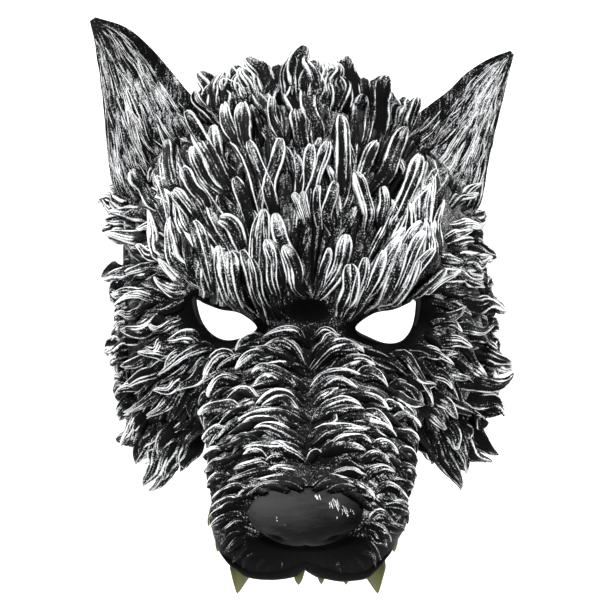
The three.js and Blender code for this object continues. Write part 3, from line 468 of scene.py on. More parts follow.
class Locks:
    """Collects fur locks and makes them into joined meshes."""

    def __init__(self, along, ridges):
        self.along, self.ridges, self.rows = along, ridges, []

    def add(self, path, normal, half, tall, lift, form, at, up, paint, belly=0.0, sink=1.0, root_paint=0.0, seat=1.8, soft=0.0, haze=0.09):
        n = len(path)
        put = lambda v: np.broadcast_to(np.asarray(v, float), (n,)).copy()
        self.rows.append(dict(path=path, normal=np.broadcast_to(normal, path.shape), half=put(half), tall=put(tall), lift=put(lift),
                              form=np.broadcast_to(form, (n, 3)), at=at, up=up, paint=put(paint), belly=put(belly), sink=put(sink), root=put(root_paint), seat=put(seat), soft=put(soft), haze=put(haze)))

    def arrays(self):
        r = {k: np.concatenate([row[k] for row in self.rows]) for k in self.rows[0]}
        path, normal = r["path"], unit(r["normal"])
        n = len(path)
        v = self.along[None, :]
        across = unit(np.cross(normal, unit(np.gradient(path, axis=1))))
        sway = wander(n, 1, self.along, 0.26, 1.1)[..., 0] * r["half"][:, None] * smooth(v, 0.02, 0.35)
        path = path + across * sway[..., None]
        tangent = unit(np.gradient(path, axis=1))
        across = unit(np.cross(normal, tangent))
        normal = unit(np.cross(tangent, across))
        finger = (0.60 + 0.40 * smooth(v, 0, 0.5)) * np.sqrt(np.clip(1 - np.clip((v - 0.80) / 0.20, 0, 1) ** 2, 0, 1))
        leaf = (0.78 + 0.22 * smooth(v, 0, 0.25)) * np.clip(1 - v**1.9, 0, 1) ** 0.9
        lens = np.sin(np.pi * np.clip(0.12 + 0.88 * v, 0, 1)) ** 0.75
        form = r["form"]
        wide = form[:, 0:1] * finger + form[:, 1:2] * leaf + form[:, 2:3] * lens
        wide = np.maximum(wide * (1 + wander(n, 1, self.along, 0.09, 1.4)[..., 0]), 0.012)
        width = r["half"][:, None] * wide
        tall = r["tall"][:, None] * (0.35 + 0.65 * smooth(v, 0, 0.3)) * np.sqrt(wide)
        lift = r["lift"][:, None] * v**1.8 - r["sink"][:, None] * (1 - smooth(v, 0, 0.26)) * (r["tall"][:, None] * 0.9 + 1.2)
        at = np.sort(np.clip(r["at"][:, None, :] + wander(n, self.ridges, self.along, 0.05, 1.2), -0.9, 0.9), axis=2)
        up = r["up"][:, None, :] * np.clip(0.9 + wander(n, self.ridges, self.along, 0.34, 1.5), 0.1, 1.25)
        one, zero = np.ones(at.shape[:2]), np.zeros(at.shape[:2])
        u, ridge = [-one, -0.5 + 0.5 * at[..., 0]], [zero, 0.3 * up[..., 0]]
        for k in range(self.ridges):
            u.append(at[..., k])
            ridge.append(up[..., k])
            if k + 1 < self.ridges:
                u.append((at[..., k] + at[..., k + 1]) / 2)
                ridge.append(zero)
        u, ridge = np.stack(u + [0.5 + 0.5 * at[..., -1], one], 2), np.stack(ridge + [0.3 * up[..., -1], zero], 2)
        soft = r["soft"][:, None, None]
        dome = np.clip(1 - np.abs(u) ** 3, 0, 1) ** 0.55 * (1 - soft) + np.clip(1 - u * u, 0, 1) ** 1.1 * soft
        shape = dome * (0.46 - 0.12 * (1 - u * u) * (1 - soft)) + ridge * (0.46 - 0.12 * soft)
        skirt = r["seat"][:, None, None] * np.abs(u) ** 3 * (1 - 0.75 * smooth(v, 0.5, 0.95))[:, :, None]
        top = path[:, :, None, :] + across[:, :, None, :] * (u * width[:, :, None])[..., None] \
            + normal[:, :, None, :] * (lift[:, :, None] + tall[:, :, None] * shape - skirt)[..., None]
        under = -0.25 - r["belly"][:, None, None] * (1 - BELLY**2)[None, None, :] * tall[:, :, None]
        bottom = path[:, :, None, :] + across[:, :, None, :] * (BELLY[None, None, :] * width[:, :, None])[..., None] \
            + normal[:, :, None, :] * (lift[:, :, None] + under)[..., None]
        ring = np.concatenate([top, bottom], 2)
        tip = smooth(v, 0.66, 0.98)[:, :, None]
        grown = np.maximum(smooth(v, 0.12, 0.42), r["root"][:, None])[:, :, None]
        paint = (r["haze"][:, None, None] * dome + 0.98 * ridge + 0.30 * tip * dome) * grown * r["paint"][:, None, None]
        paint = np.concatenate([paint, np.zeros((n, len(self.along), 3))], 2)
        length = np.linalg.norm(np.diff(path, axis=1), axis=2).sum(1)
        lay = np.zeros((*ring.shape[:3], 3))
        lay[..., 0] = np.concatenate([u, np.broadcast_to(BELLY, (*at.shape[:2], 3))], 2) * width[:, :, None]
        lay[..., 1] = (v * length[:, None])[:, :, None]
        lay[..., 2] = (rng.random(n) * 97)[:, None, None]
        return ring, paint, lay

    def objects(self, name, material, most=190000):
        ring, paint, lay = self.arrays()
        ring = pinch(tuck(ring))
        n, nv, nr, _ = ring.shape
        nu = nr - 3
        one = grid_faces(nv, nr, wrap=True)
        caps = []
        for row, flip in ((0, True), (nv - 1, False)):
            top, bot = np.arange(nu) + row * nr, np.array([nu + 2, nu + 1, nu]) + row * nr
            for k in range(nu - 1):
                a, b, c, d = top[k], top[k + 1], bot[k * 3 // nu], bot[(k + 1) * 3 // nu]
                caps.append((a, c, b) if flip else (a, b, c))
                if c != d:
                    caps.append((b, c, d) if flip else (b, d, c))
        caps = np.array(caps)
        share = most // (len(one) * 2 + len(caps))
        parts = max(1, math.ceil(n / share))
        out = []
        for k in range(parts):
            pick = slice(k * n // parts, (k + 1) * n // parts)
            m = len(ring[pick])
            base = (np.arange(m) * nv * nr)[:, None, None]
            obj = mesh_object(name if parts == 1 else f"{name}_{k + 1}", ring[pick].reshape(-1, 3),
                              [(base + one[None]).reshape(-1, 4), (base + caps[None]).reshape(-1, 3)], material,
                              {"paint": paint[pick].reshape(-1), "lay": lay[pick].reshape(-1, 3)})
            out.append(obj)
        return out


def fore_share(q):
    """1 where the fur belongs to the forehead, 0 at the sides and cheeks."""
    out = np.maximum(0, np.abs(q[..., 0]) - 50)
    return smooth((q[..., 2] + 4 - 1.9 * out) / (14 + 0.6 * out))


def muzzle_share(q):
    return smooth(spine_place(q)[0], 0.08, 0.16) * smooth(10 - muzzle(q), 0, 7)


def round_muzzle(q):
    """Along the muzzle and the angle round it from its top."""
    t, past, up, wide, deep = spine_place(q)
    return t, np.arctan2(np.abs(q[..., 0]) / wide, up / deep)


def flow(p, n):
    """The way the fur lies at places on the form."""
    tangent = lambda d: unit(d - n * (d * n).sum(-1, keepdims=True))
    q = even(p)
    ax = np.abs(q[..., 0])
    lean = np.interp(ax, [0, 15, 30, 45, 58, 75, 100], [0, 0.35, 0.6, 0.45, 0.15, 0.3, 0.6])
    high = smooth(q[..., 2], 42, 72)
    lean = np.sign(q[..., 0]) * (lean * (1 - high) + 0.011 * ax * high)
    fore = tangent(np.stack([lean, np.full_like(lean, 0.35), np.ones_like(lean)], -1))
    side = tangent(p - np.array([0, -30, 30.0]))
    wf = fore_share(q)[..., None]
    head = unit(fore * wf + side * (1 - wf))
    fy, fz, ty, tz = SPINE
    es = tangent(np.broadcast_to(unit(np.array([0, ty - fy, tz - fz])), p.shape))
    ec = np.where(q[..., :1] >= 0, 1, -1) * unit(np.cross(n, es))
    t, angle = round_muzzle(q)
    back = np.interp(angle, [0, 0.25, 0.6, 1.1, 2.0], [1.0, 0.5, -0.15, -0.3, -0.15])[..., None]
    snout = unit(ec - es * back)
    wm = muzzle_share(q)[..., None]
    return unit(snout * wm + head * (1 - wm))


def toward_rim(p):
    """0 at the middle of the face, 1 at the rim."""
    theta, psi = polar(p)
    return psi / edge_psi(theta)


def grow(seed, long, bend, centre, along, follow, rise=0.0, turn=0.0):
    """Paths of locks along the fur's flow; a share `centre` of each lies before its seed."""
    p = seed.copy()
    for _ in range(6):
        p = onto(p - flow(p, unit(slope(p))) * (centre * long / 6)[:, None], 0, 1)
    g = unit(slope(p))
    turn, rise = (np.broadcast_to(k, (len(p),)) for k in (turn, rise))
    d = flow(p, g)
    d = unit(d + np.cross(g, d) * (turn - 0.3 * bend)[:, None] + g * rise[:, None])
    path, norm = [p], [g]
    for a, b in zip(along[:-1], along[1:]):
        hold = np.where(toward_rim(p) > 1, 0, follow)
        p = p + d * ((b - a) * long)[:, None]
        s = slope(p)
        p = p - s * (hold * np.clip(outside(p) / np.maximum((s**2).sum(-1), 0.05), -3, 3))[:, None]
        s, w = unit(s), hold[:, None]
        g = unit(g * (1 - w) + s * w)
        f = flow(p, s)
        f = unit(f + np.cross(s, f) * (turn + bend * (b - 0.3))[:, None])
        d = unit(d * (1 - w) + f * w)
        path.append(p)
        norm.append(g)
    return np.stack(path, 1), np.stack(norm, 1)


def spread(p, across, along, taken=None):
    """A choice of places that keep `across` apart over the flow and `along` apart with it."""
    d = flow(p, unit(slope(p)))
    hold = np.zeros((len(p) + (0 if taken is None else len(taken)), 3))
    count = 0
    if taken is not None:
        hold[:len(taken)], count = taken, len(taken)
    out = []
    for i in range(len(p)):
        delta = hold[:count] - p[i]
        a = delta @ d[i]
        if ((a / along[i]) ** 2 + ((delta**2).sum(1) - a * a) / across[i] ** 2 < 1).any():
            continue
        hold[count] = p[i]
        count += 1
        out.append(i)
    return np.array(out, int)


def ridges(n, kind):
    """Places across and heights of the ridges of locks."""
    j = lambda s: rng.uniform(-s, s, n)
    r = lambda a, b: rng.uniform(a, b, n)
    if kind == "finger":
        at = [-0.74 + j(0.04), -0.32 + j(0.08), 0.0 + j(0.08), 0.32 + j(0.08), 0.74 + j(0.04)]
        up = [r(0.45, 1), r(-0.5, 0.7).clip(0), r(-0.4, 0.8).clip(0), r(-0.5, 0.7).clip(0), r(0.45, 1)]
    elif kind == "leaf":
        at = [-0.78 + j(0.05), -0.40 + j(0.07), 0.0 + j(0.07), 0.40 + j(0.07), 0.78 + j(0.05)]
        up = [r(0.45, 1), r(-0.5, 0.9).clip(0), r(-0.2, 1).clip(0), r(-0.5, 0.9).clip(0), r(0.45, 1)]
    elif kind == "arc":             # brighter on the side that faces up
        at = [-0.72 + j(0.06), -0.36 + j(0.07), 0.02 + j(0.07), 0.38 + j(0.06), 0.74 + j(0.05)]
        up = [r(-0.3, 0.4).clip(0), r(-0.3, 0.6).clip(0), r(-0.1, 0.85).clip(0), r(0.2, 1), r(0.6, 1)]
    else:                           # thin strands of three
        at = [-0.6 + j(0.08), 0.0 + j(0.12), 0.6 + j(0.08)]
        up = [r(-0.2, 0.9).clip(0), r(0.1, 0.9), r(-0.2, 0.9).clip(0)]
    return np.stack(at, 1), np.stack(up, 1)


# ---------------------------------------------------------------- materials
def nodes_of(name):
    m = bpy.data.materials.new(name)
    m.use_nodes = True
    t = m.node_tree
    return m, t, t.nodes["Principled BSDF"]


def node(t, kind, **values):
    n = t.nodes.new(kind)
    for k, v in values.items():
        if hasattr(n, k) and k not in n.inputs:
            setattr(n, k, v)
        else:
            n.inputs[k].default_value = v
    return n


def maths(t, op, a, b=None, clamp=False):
    n = t.nodes.new("ShaderNodeMath")
    n.operation, n.use_clamp = op, clamp
    for i, v in enumerate((a, b)):
        if v is None:
            continue
        if isinstance(v, (int, float)):
            n.inputs[i].default_value = v
        else:
            t.links.new(v, n.inputs[i])
    return n.outputs[0]


def ramp(t, value, stops):
    n = t.nodes.new("ShaderNodeValToRGB")
    e = n.color_ramp.elements
    while len(e) < len(stops):
        e.new(0.5)
    for el, (pos, col) in zip(e, stops):
        el.position = pos
        el.color = (*col, 1) if len(col) == 3 else col
    t.links.new(value, n.inputs[0])
    return n.outputs[0]


def fur_material():
    m, t, bsdf = nodes_of("fur_black_silver")
    paint = node(t, "ShaderNodeAttribute", attribute_name="paint")
    lay = node(t, "ShaderNodeAttribute", attribute_name="lay")
    place = node(t, "ShaderNodeTexCoord")
    # streaks that run along each lock
    stretch = node(t, "ShaderNodeMapping")
    stretch.inputs["Scale"].default_value = (1.7, 0.16, 1.0)
    t.links.new(lay.outputs["Vector"], stretch.inputs["Vector"])
    streak = node(t, "ShaderNodeTexNoise", Scale=1.0, Detail=3.0, Roughness=0.6)
    t.links.new(stretch.outputs[0], streak.inputs["Vector"])
    speck = node(t, "ShaderNodeTexNoise", Scale=1400.0, Detail=2.0, Roughness=0.7)
    t.links.new(place.outputs["Object"], speck.inputs["Vector"])
    patch = node(t, "ShaderNodeTexNoise", Scale=46.0, Detail=2.0)
    t.links.new(place.outputs["Object"], patch.inputs["Vector"])
    worn = node(t, "ShaderNodeMapping")
    worn.inputs["Scale"].default_value = (0.45, 0.10, 1.0)
    t.links.new(lay.outputs["Vector"], worn.inputs["Vector"])
    gaps = node(t, "ShaderNodeTexNoise", Scale=1.0, Detail=2.0, Roughness=0.6)
    t.links.new(worn.outputs[0], gaps.inputs["Vector"])
    about = lambda fac, by: maths(t, "MULTIPLY", maths(t, "SUBTRACT", fac, 0.5), by)
    flecks = ramp(t, speck.outputs["Fac"], [(0.57, (0, 0, 0)), (0.70, (0.46, 0.46, 0.46))])
    fleck = maths(t, "MULTIPLY", flecks, maths(t, "ADD", about(patch.outputs["Fac"], 2.0), 0.5, clamp=True))
    rough_paint = maths(t, "ADD", about(streak.outputs["Fac"], 0.8), about(speck.outputs["Fac"], 0.9))
    rough_paint = maths(t, "ADD", rough_paint, about(patch.outputs["Fac"], 0.6))
    rough_paint = maths(t, "ADD", rough_paint, about(gaps.outputs["Fac"], 1.25))
    rough_paint = maths(t, "ADD", rough_paint, fleck)
    touched = maths(t, "MULTIPLY", paint.outputs["Fac"], 9.0, clamp=True)
    total = maths(t, "ADD", paint.outputs["Fac"], maths(t, "MULTIPLY", rough_paint, touched))
    mask = ramp(t, total, [(0.33, (0, 0, 0)), (0.53, (0.60, 0.60, 0.60)), (0.85, (1, 1, 1))])
    colour = ramp(t, mask, [(0.0, (0.0022, 0.0022, 0.0023)), (0.5, (0.16, 0.162, 0.166)), (1.0, (0.82, 0.825, 0.835))])
    t.links.new(colour, bsdf.inputs["Base Color"])
    rough = ramp(t, mask, [(0.0, (0.46,) * 3), (1.0, (0.55,) * 3)])
    t.links.new(rough, bsdf.inputs["Roughness"])
    sheen = ramp(t, touched, [(0.0, (0.02,) * 3), (1.0, (0.052,) * 3)])
    t.links.new(sheen, bsdf.inputs["Specular IOR Level"])
    bump = node(t, "ShaderNodeBump", Strength=0.55, Distance=0.0005)
    t.links.new(streak.outputs["Fac"], bump.inputs["Height"])
    t.links.new(bump.outputs[0], bsdf.inputs["Normal"])
    return m


def black_material(name, rough_low, rough_high, grain, strength, colour=(0.008, 0.008, 0.0085)):
    m, t, bsdf = nodes_of(name)
    place = node(t, "ShaderNodeTexCoord")
    fine = node(t, "ShaderNodeTexNoise", Scale=grain, Detail=4.0, Roughness=0.6)
    broad = node(t, "ShaderNodeTexNoise", Scale=60.0, Detail=3.0)
    t.links.new(place.outputs["Object"], fine.inputs["Vector"])
    t.links.new(place.outputs["Object"], broad.inputs["Vector"])
    tone = ramp(t, broad.outputs["Fac"], [(0.3, tuple(0.75 * c for c in colour)), (0.7, tuple(1.6 * c for c in colour))])
    t.links.new(tone, bsdf.inputs["Base Color"])
    rough = ramp(t, broad.outputs["Fac"], [(0.3, (rough_low,) * 3), (0.7, (rough_high,) * 3)])
    t.links.new(rough, bsdf.inputs["Roughness"])
    bsdf.inputs["Specular IOR Level"].default_value = 0.12
    bump = node(t, "ShaderNodeBump", Strength=strength, Distance=0.0004)
    t.links.new(fine.outputs["Fac"], bump.inputs["Height"])
    t.links.new(bump.outputs[0], bsdf.inputs["Normal"])
    return m


def nose_material():
    m, t, bsdf = nodes_of("nose_black")
    # The nose's paint attribute carries painted light and shade: lit top and left, painted shade low and at the right
    # end.
    shade = node(t, "ShaderNodeAttribute", attribute_name="paint")
    place = node(t, "ShaderNodeTexCoord")
    fine = node(t, "ShaderNodeTexNoise", Scale=1300.0, Detail=4.0, Roughness=0.65)
    broad = node(t, "ShaderNodeTexNoise", Scale=70.0, Detail=4.0, Roughness=0.6)
    t.links.new(place.outputs["Object"], fine.inputs["Vector"])
    t.links.new(place.outputs["Object"], broad.inputs["Vector"])
    v = maths(t, "ADD", shade.outputs["Fac"], maths(t, "MULTIPLY", maths(t, "SUBTRACT", broad.outputs["Fac"], 0.5), 0.5))
    v = maths(t, "ADD", v, maths(t, "MULTIPLY", maths(t, "SUBTRACT", fine.outputs["Fac"], 0.5), 0.25))
    flat = node(t, "ShaderNodeMapping")
    flat.inputs["Scale"].default_value = (110.0, 110.0, 620.0)
    t.links.new(place.outputs["Object"], flat.inputs["Vector"])
    crease = node(t, "ShaderNodeTexNoise", Scale=1.0, Detail=4.0, Roughness=0.65)
    t.links.new(flat.outputs[0], crease.inputs["Vector"])
    # The creases darken the colour as well as the bump: painted shade in their hollows.
    v = maths(t, "ADD", v, maths(t, "MULTIPLY", maths(t, "SUBTRACT", crease.outputs["Fac"], 0.5), 0.7))
    colour = ramp(t, v, [(0.0, (0.0012, 0.0012, 0.0013)), (0.5, (0.0065, 0.0065, 0.0067)), (1.0, (0.030, 0.030, 0.0305))])
    t.links.new(colour, bsdf.inputs["Base Color"])
    rough = ramp(t, broad.outputs["Fac"], [(0.3, (0.46,) * 3), (0.7, (0.60,) * 3)])
    t.links.new(rough, bsdf.inputs["Roughness"])
    bsdf.inputs["Specular IOR Level"].default_value = 0.035
    bump = node(t, "ShaderNodeBump", Strength=0.35, Distance=0.0006)
    t.links.new(maths(t, "ADD", maths(t, "MULTIPLY", fine.outputs["Fac"], 0.4), crease.outputs["Fac"]), bump.inputs["Height"])
    t.links.new(bump.outputs[0], bsdf.inputs["Normal"])
    return m


def tooth_material():
    m, t, bsdf = nodes_of("tooth_olive")
    h = node(t, "ShaderNodeAttribute", attribute_name="height")
    place = node(t, "ShaderNodeTexCoord")
    mottle = node(t, "ShaderNodeTexNoise", Scale=220.0, Detail=3.0)
    t.links.new(place.outputs["Object"], mottle.inputs["Vector"])
    v = maths(t, "ADD", h.outputs["Fac"], maths(t, "MULTIPLY_ADD", mottle.outputs["Fac"], 0.35))
    t.nodes[-2].inputs[2].default_value = -0.17
    colour = ramp(t, v, [(0.0, (0.085, 0.087, 0.019)), (0.45, (0.048, 0.052, 0.0095)), (0.9, (0.014, 0.015, 0.004))])
    t.links.new(colour, bsdf.inputs["Base Color"])
    rough = ramp(t, mottle.outputs["Fac"], [(0.3, (0.3,) * 3), (0.7, (0.45,) * 3)])
    t.links.new(rough, bsdf.inputs["Roughness"])
    bsdf.inputs["Specular IOR Level"].default_value = 0.25
    bump = node(t, "ShaderNodeBump", Strength=0.25, Distance=0.0003)
    t.links.new(mottle.outputs["Fac"], bump.inputs["Height"])
    t.links.new(bump.outputs[0], bsdf.inputs["Normal"])
    return m


def strap_material():
    m, t, bsdf = nodes_of("strap_elastic")
    lay = node(t, "ShaderNodeAttribute", attribute_name="lay")
    split = node(t, "ShaderNodeSeparateXYZ")
    t.links.new(lay.outputs["Vector"], split.inputs[0])
    ribs = maths(t, "SINE", maths(t, "MULTIPLY", split.outputs[1], 2 * math.pi / 1.1))
    cords = maths(t, "SINE", maths(t, "MULTIPLY", split.outputs[0], 2 * math.pi / 1.5))
    weave = maths(t, "MULTIPLY", ribs, cords)
    fuzz = node(t, "ShaderNodeTexNoise", Scale=3.0, Detail=3.0)
    t.links.new(lay.outputs["Vector"], fuzz.inputs["Vector"])
    total = maths(t, "ADD", maths(t, "MULTIPLY", weave, 0.22), fuzz.outputs["Fac"])
    colour = ramp(t, total, [(0.25, (0.060, 0.062, 0.060)), (0.75, (0.15, 0.152, 0.148))])
    t.links.new(colour, bsdf.inputs["Base Color"])
    bsdf.inputs["Roughness"].default_value = 0.9
    bump = node(t, "ShaderNodeBump", Strength=0.6, Distance=0.0003)
    t.links.new(weave, bump.inputs["Height"])
    t.links.new(bump.outputs[0], bsdf.inputs["Normal"])
    return m


FUR = fur_material()
HIDE = black_material("hide_black", 0.36, 0.5, 900.0, 0.35)
LINER = black_material("inside_black", 0.55, 0.75, 700.0, 0.3, (0.014, 0.014, 0.0145))
NOSE = nose_material()
TOOTH = tooth_material()
STRAP = strap_material()


def keep(obj, slot, *nodes):
    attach(obj, "root")
    if nodes:
        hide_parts(*nodes)
    return obj


# ---------------------------------------------------------------- skin
def bare_share(p):
    """1 on the smooth lip and philtrum under the nose, 0 under the fur."""
    q = even(p)
    return smooth(-q[..., 2], 90, 97) * smooth(-q[..., 1], 78, 88) * smooth(34 - np.abs(q[..., 0]), 0, 9)


def shell_grid(cols_face, cols_notch, cols_jaw, rings, level):
    tip, corner = EDGE_THETA[7], EDGE_THETA[8]
    half = np.concatenate([np.linspace(0, tip, cols_face, endpoint=False), np.linspace(tip, corner, cols_notch, endpoint=False), np.linspace(corner, math.pi, cols_jaw)])
    theta = np.concatenate([half, -half[1:-1][::-1]])
    f = np.linspace(0, 1, rings + 1)[1:]
    psi = f[:, None] * edge_psi(theta)[None, :]
    inner = math.radians(25) * f / 0.36
    psi = np.where(f[:, None] <= 0.36, inner[:, None], math.radians(25) + (edge_psi(theta)[None, :] - math.radians(25)) * ((f[:, None] - 0.36) / 0.64))
    d = direction(np.broadcast_to(theta, psi.shape), psi)
    p = reach(d, 0.0) if level is None else reach(d, level)
    if level is None:                      # fur is sunk, bare lip isn't
        p = onto(p, SKIN * (1 - bare_share(p)) - 1.8 * smooth(4 - oval(FORMS["nose"], 1, even(p)), 0, 4), 2)
    return pinch(p)


def lie(p):
    """Places measured across and along the fur's flow."""
    q = even(p)
    x, z = q[:, 0], q[:, 2]
    wf = fore_share(q)
    wm = muzzle_share(q)
    t, angle = round_muzzle(q)
    steps = np.linspace(0, 3.2, 65)
    drop = np.concatenate([[0], np.cumsum(np.interp(steps[:-1], [0, 0.25, 0.6, 1.1, 2.0], [1.0, 0.5, -0.15, -0.5, -0.55])) * (steps[1] - steps[0]) * 38])
    fore = np.arctan2(x, z + 40) * 70, np.hypot(x, z + 40)
    side = np.arctan2(z - 30, np.abs(x)) * 60 + np.sign(x) * 300, np.hypot(x, z - 30)
    snout = t * 107 + np.interp(angle, steps, drop) + np.sign(x) * 200, angle * 38
    mix = lambda k: (fore[k] * wf + side[k] * (1 - wf)) * (1 - wm) + snout[k] * wm
    return np.stack([mix(0), mix(1), np.zeros(len(p))], 1)


def with_eyes(p, flip):
    """Quads of a ring grid with the eye openings cut to their line."""
    rows, cols, _ = p.shape
    faces = grid_faces(rows, cols, wrap=True, flip=flip)
    dist, place = eye_distance(p)
    flat, dist, place = p.reshape(-1, 3), dist.reshape(-1), place.reshape(-1, 2)
    middle = eye_distance(flat[faces].mean(1))[0]
    near = np.abs(dist) < 3
    gone, stay = middle < 0, middle >= 0
    border = np.intersect1d(faces[gone & near[faces].any(1)], faces[stay & near[faces].any(1)])
    flat[border, 0], flat[border, 2] = place[border, 0], place[border, 1]
    return flat, faces[stay]


# How far the lip hangs below the wall's edge: across and down.
LOBES = np.array([(-42, 0), (-33, 0.4), (-25, 2.0), (-17.6, 2.3), (-12, 4.0), (-7.2, 5.0), (-3.3, 3.5), (-0.4, 2.0), (2.9, 5.0), (6.8, 6.3), (12, 5.2), (18.6, 3.5), (26.6, 2.5), (33, 1.6), (42, 0)], float)


def skin():
    outer = shell_grid(120, 16, 64, 190, None)
    hide_v, hide_f = with_eyes(outer, True)
    inner = shell_grid(120, 16, 64, 60, -WALL)
    line_v, line_f = with_eyes(inner, False)
    # the edge between them, rounded
    a, b = outer[-1], inner[-1]
    cols = len(a)
    mid = (a + b) / 2 + unit(np.cross(np.roll(a, -1, 0) - np.roll(a, 1, 0), a - b)) * 0.0
    rim = np.stack([a, a * 0.75 + b * 0.25, mid, a * 0.25 + b * 0.75, b])
    out = unit(np.roll(a, -1, 0) - np.roll(a, 1, 0))
    swell = np.cross(out, unit(a - b))
    swell *= np.sign((swell * (a - HEART)).sum(-1, keepdims=True) * 0 + 1)
    away = unit(a - outer[-4])
    swell = np.where((swell * away).sum(-1, keepdims=True) > 0, swell, -swell)
    for k, s in ((1, 0.8), (2, 1.1), (3, 0.8)):
        rim[k] += swell * s
    rim_f = grid_faces(5, cols, wrap=True, flip=True)
    whole = np.vstack([hide_v, rim.reshape(-1, 3)])
    paint = np.zeros(len(whole))
    paint[:len(hide_v)] = (0.30 + 0.04 * smooth(hide_v[:, 2], 10, 40)) * (1 - bare(hide_v)) * smooth(eye_distance(hide_v)[0], 2, 10) * (1 - 0.9 * smooth(-hide_v[:, 2], 88, 100))
    level = even(hide_v)
    # Painted shade: the paint thins round the crease between the brows, partly the crease's own unpainted black, partly
    # the shadow of the brows over it.
    bridge_bare_and_shade = smooth(1.8 - (level[:, 0] / 15) ** 2 - ((hide_v[:, 2] + 1) / 8) ** 2, 0, 1.5)
    paint[:len(hide_v)] *= (1 - 0.62 * bridge_bare_and_shade) * (1 - 0.45 * muzzle_share(level) * smooth(16 - np.abs(level[:, 0]), 0, 10))
    keep(mesh_object("skin", whole, [np.vstack([hide_f, rim_f + len(hide_v)]), np.arange(cols)[None]], FUR, {"paint": paint, "lay": lie(whole)}), "shell", "mask_shell")
    keep(mesh_object("inside", line_v, [line_f, np.arange(cols)[None, ::-1]], LINER), "shell", "mask_shell")
    # the rounded lip along the mouth
    mouth = np.flatnonzero((np.abs(a[:, 0]) < 50) & (a[:, 1] < -42) & (a[:, 2] < -58))
    line, wall = (a[mouth] + b[mouth]) / 2, unit(a[mouth] - b[mouth])
    along = unit(np.gradient(line, axis=0))
    down = np.cross(along, wall)
    down = np.where((down * swell[mouth]).sum(1, keepdims=True) > 0, down, -down)
    n = len(line)
    end = smooth(np.minimum(np.arange(n), np.arange(n)[::-1]) / n, 0, 0.16)
    w = np.linspace(0, 2 * math.pi, 16, endpoint=False)
    size = (0.5 + 0.5 * end)[:, None] * (1 + 0.02 * np.sin(np.arange(n) * 0.83 + 1))[:, None]
    drop = np.interp(line[:, 0], LOBES[:, 0], LOBES[:, 1])[:, None]
    v = line[:, None] + wall[:, None] * (2.9 * size * np.cos(w))[..., None] + down[:, None] * ((2.7 * size + drop / 2) * np.sin(w) + 0.2 + drop / 2)[..., None]
    facing = grid_faces(n, 16, wrap=True)
    caps = [np.arange(16)[None, ::-1], (np.arange(16) + (n - 1) * 16)[None, :]]
    lay = np.zeros((n, 16, 3))
    lay[..., 0], lay[..., 1] = np.arange(n)[:, None] * 1.2, w[None, :] * 2.8
    keep(mesh_object("lip", v.reshape(-1, 3), [facing, *caps], FUR, {"paint": np.zeros(n * 16), "lay": lay.reshape(-1, 3)}), "shell", "mask_shell")


def eye_rims():
    for side, name in ((1, "eye_rim_right"), (-1, "eye_rim_left")):
        line = EYE_LINE[side] * np.array([side, 1.0])
        n = len(line)
        d = np.zeros((n, 3))
        p0 = np.stack([line[:, 0], np.full(n, -60.0), line[:, 1]], 1)

        def depth(level):
            y = np.full(n, -60.0)
            live = np.arange(n)
            while len(live):
                q = p0[live].copy()
                q[:, 1] = y[live]
                hit = outside(q) <= level
                live = live[~hit]
                y[live] += 0.5
                live = live[y[live] < 30]
            return y

        front, back = depth(SKIN), depth(-WALL)
        ker = np.hanning(13)
        ker /= ker.sum()
        blur = lambda v: np.convolve(np.concatenate([v[-6:], v, v[:6]]), ker, "valid")
        front, back = blur(front), np.maximum(blur(back), blur(front) + 2.2)
        middle = line.mean(0)
        tangent = np.roll(line, -1, 0) - np.roll(line, 1, 0)
        away = np.stack([tangent[:, 1], -tangent[:, 0]], 1)
        away /= np.linalg.norm(away, axis=1, keepdims=True)
        away *= np.sign((away * (line - middle)).sum(1, keepdims=True))
        section = [(0.1, 0.9, 0), (-0.35, 0.1, 0), (0.2, -0.7, 0), (1.4, -1.0, 0), (2.6, 0.3, 0), (2.6, -0.3, 1), (1.3, 0.6, 1), (0.2, 0.3, 1), (-0.2, -0.5, 1)]
        rings = []
        for o, dy, end in section:
            xz = line + away * o
            rings.append(np.stack([xz[:, 0], (back if end else front) + dy, xz[:, 1]], 1))
        v = np.stack(rings, 1)             # n, 9, 3
        obj = mesh_object(name, v.reshape(-1, 3), np.vstack([grid_faces(n, 9, wrap=True), np.stack([(n - 1) * 9 + np.arange(9), (n - 1) * 9 + (np.arange(9) + 1) % 9, (np.arange(9) + 1) % 9, np.arange(9)], 1)]), HIDE)
        keep(obj, "shell", "mask_shell")


# ---------------------------------------------------------------- fur over the head
def bare(p):
    """How bare of paint and fur places are: nose, lip, the dark pockets beside the eyes and the frown. The frown's
    black is partly its own unpainted crease and partly painted shadow, the shadow that the brows cast over it.
    """
    q = even(p)
    ax, y, z = np.abs(q[:, 0]), p[:, 1], p[:, 2]
    nose = smooth(1.5 - oval(PAD, 1, q), 0, 2)
    pocket = smooth(1.5 - ((np.abs(p[:, 0]) - 59) / 6) ** 2 - ((z - 6) / 9) ** 2, 0, 1) * (y < 25)
    # painted shadow: the frown is left black for the shadow of the brows over the crease
    frown = smooth(2.6 - (ax / 10) ** 2 - ((z - 8) / 5) ** 2, 0, 2.4) * (y < 10)
    return np.max([nose, smooth(bare_share(p), 0.1, 0.5), pocket, frown], 0)


def furless(p):
    slot = (np.abs(p[:, 2] - STRAP_Z) < 8) & (p[:, 1] > 42) & (np.abs(p[:, 0]) > 78)
    return (bare(p) > 0.6) | slot


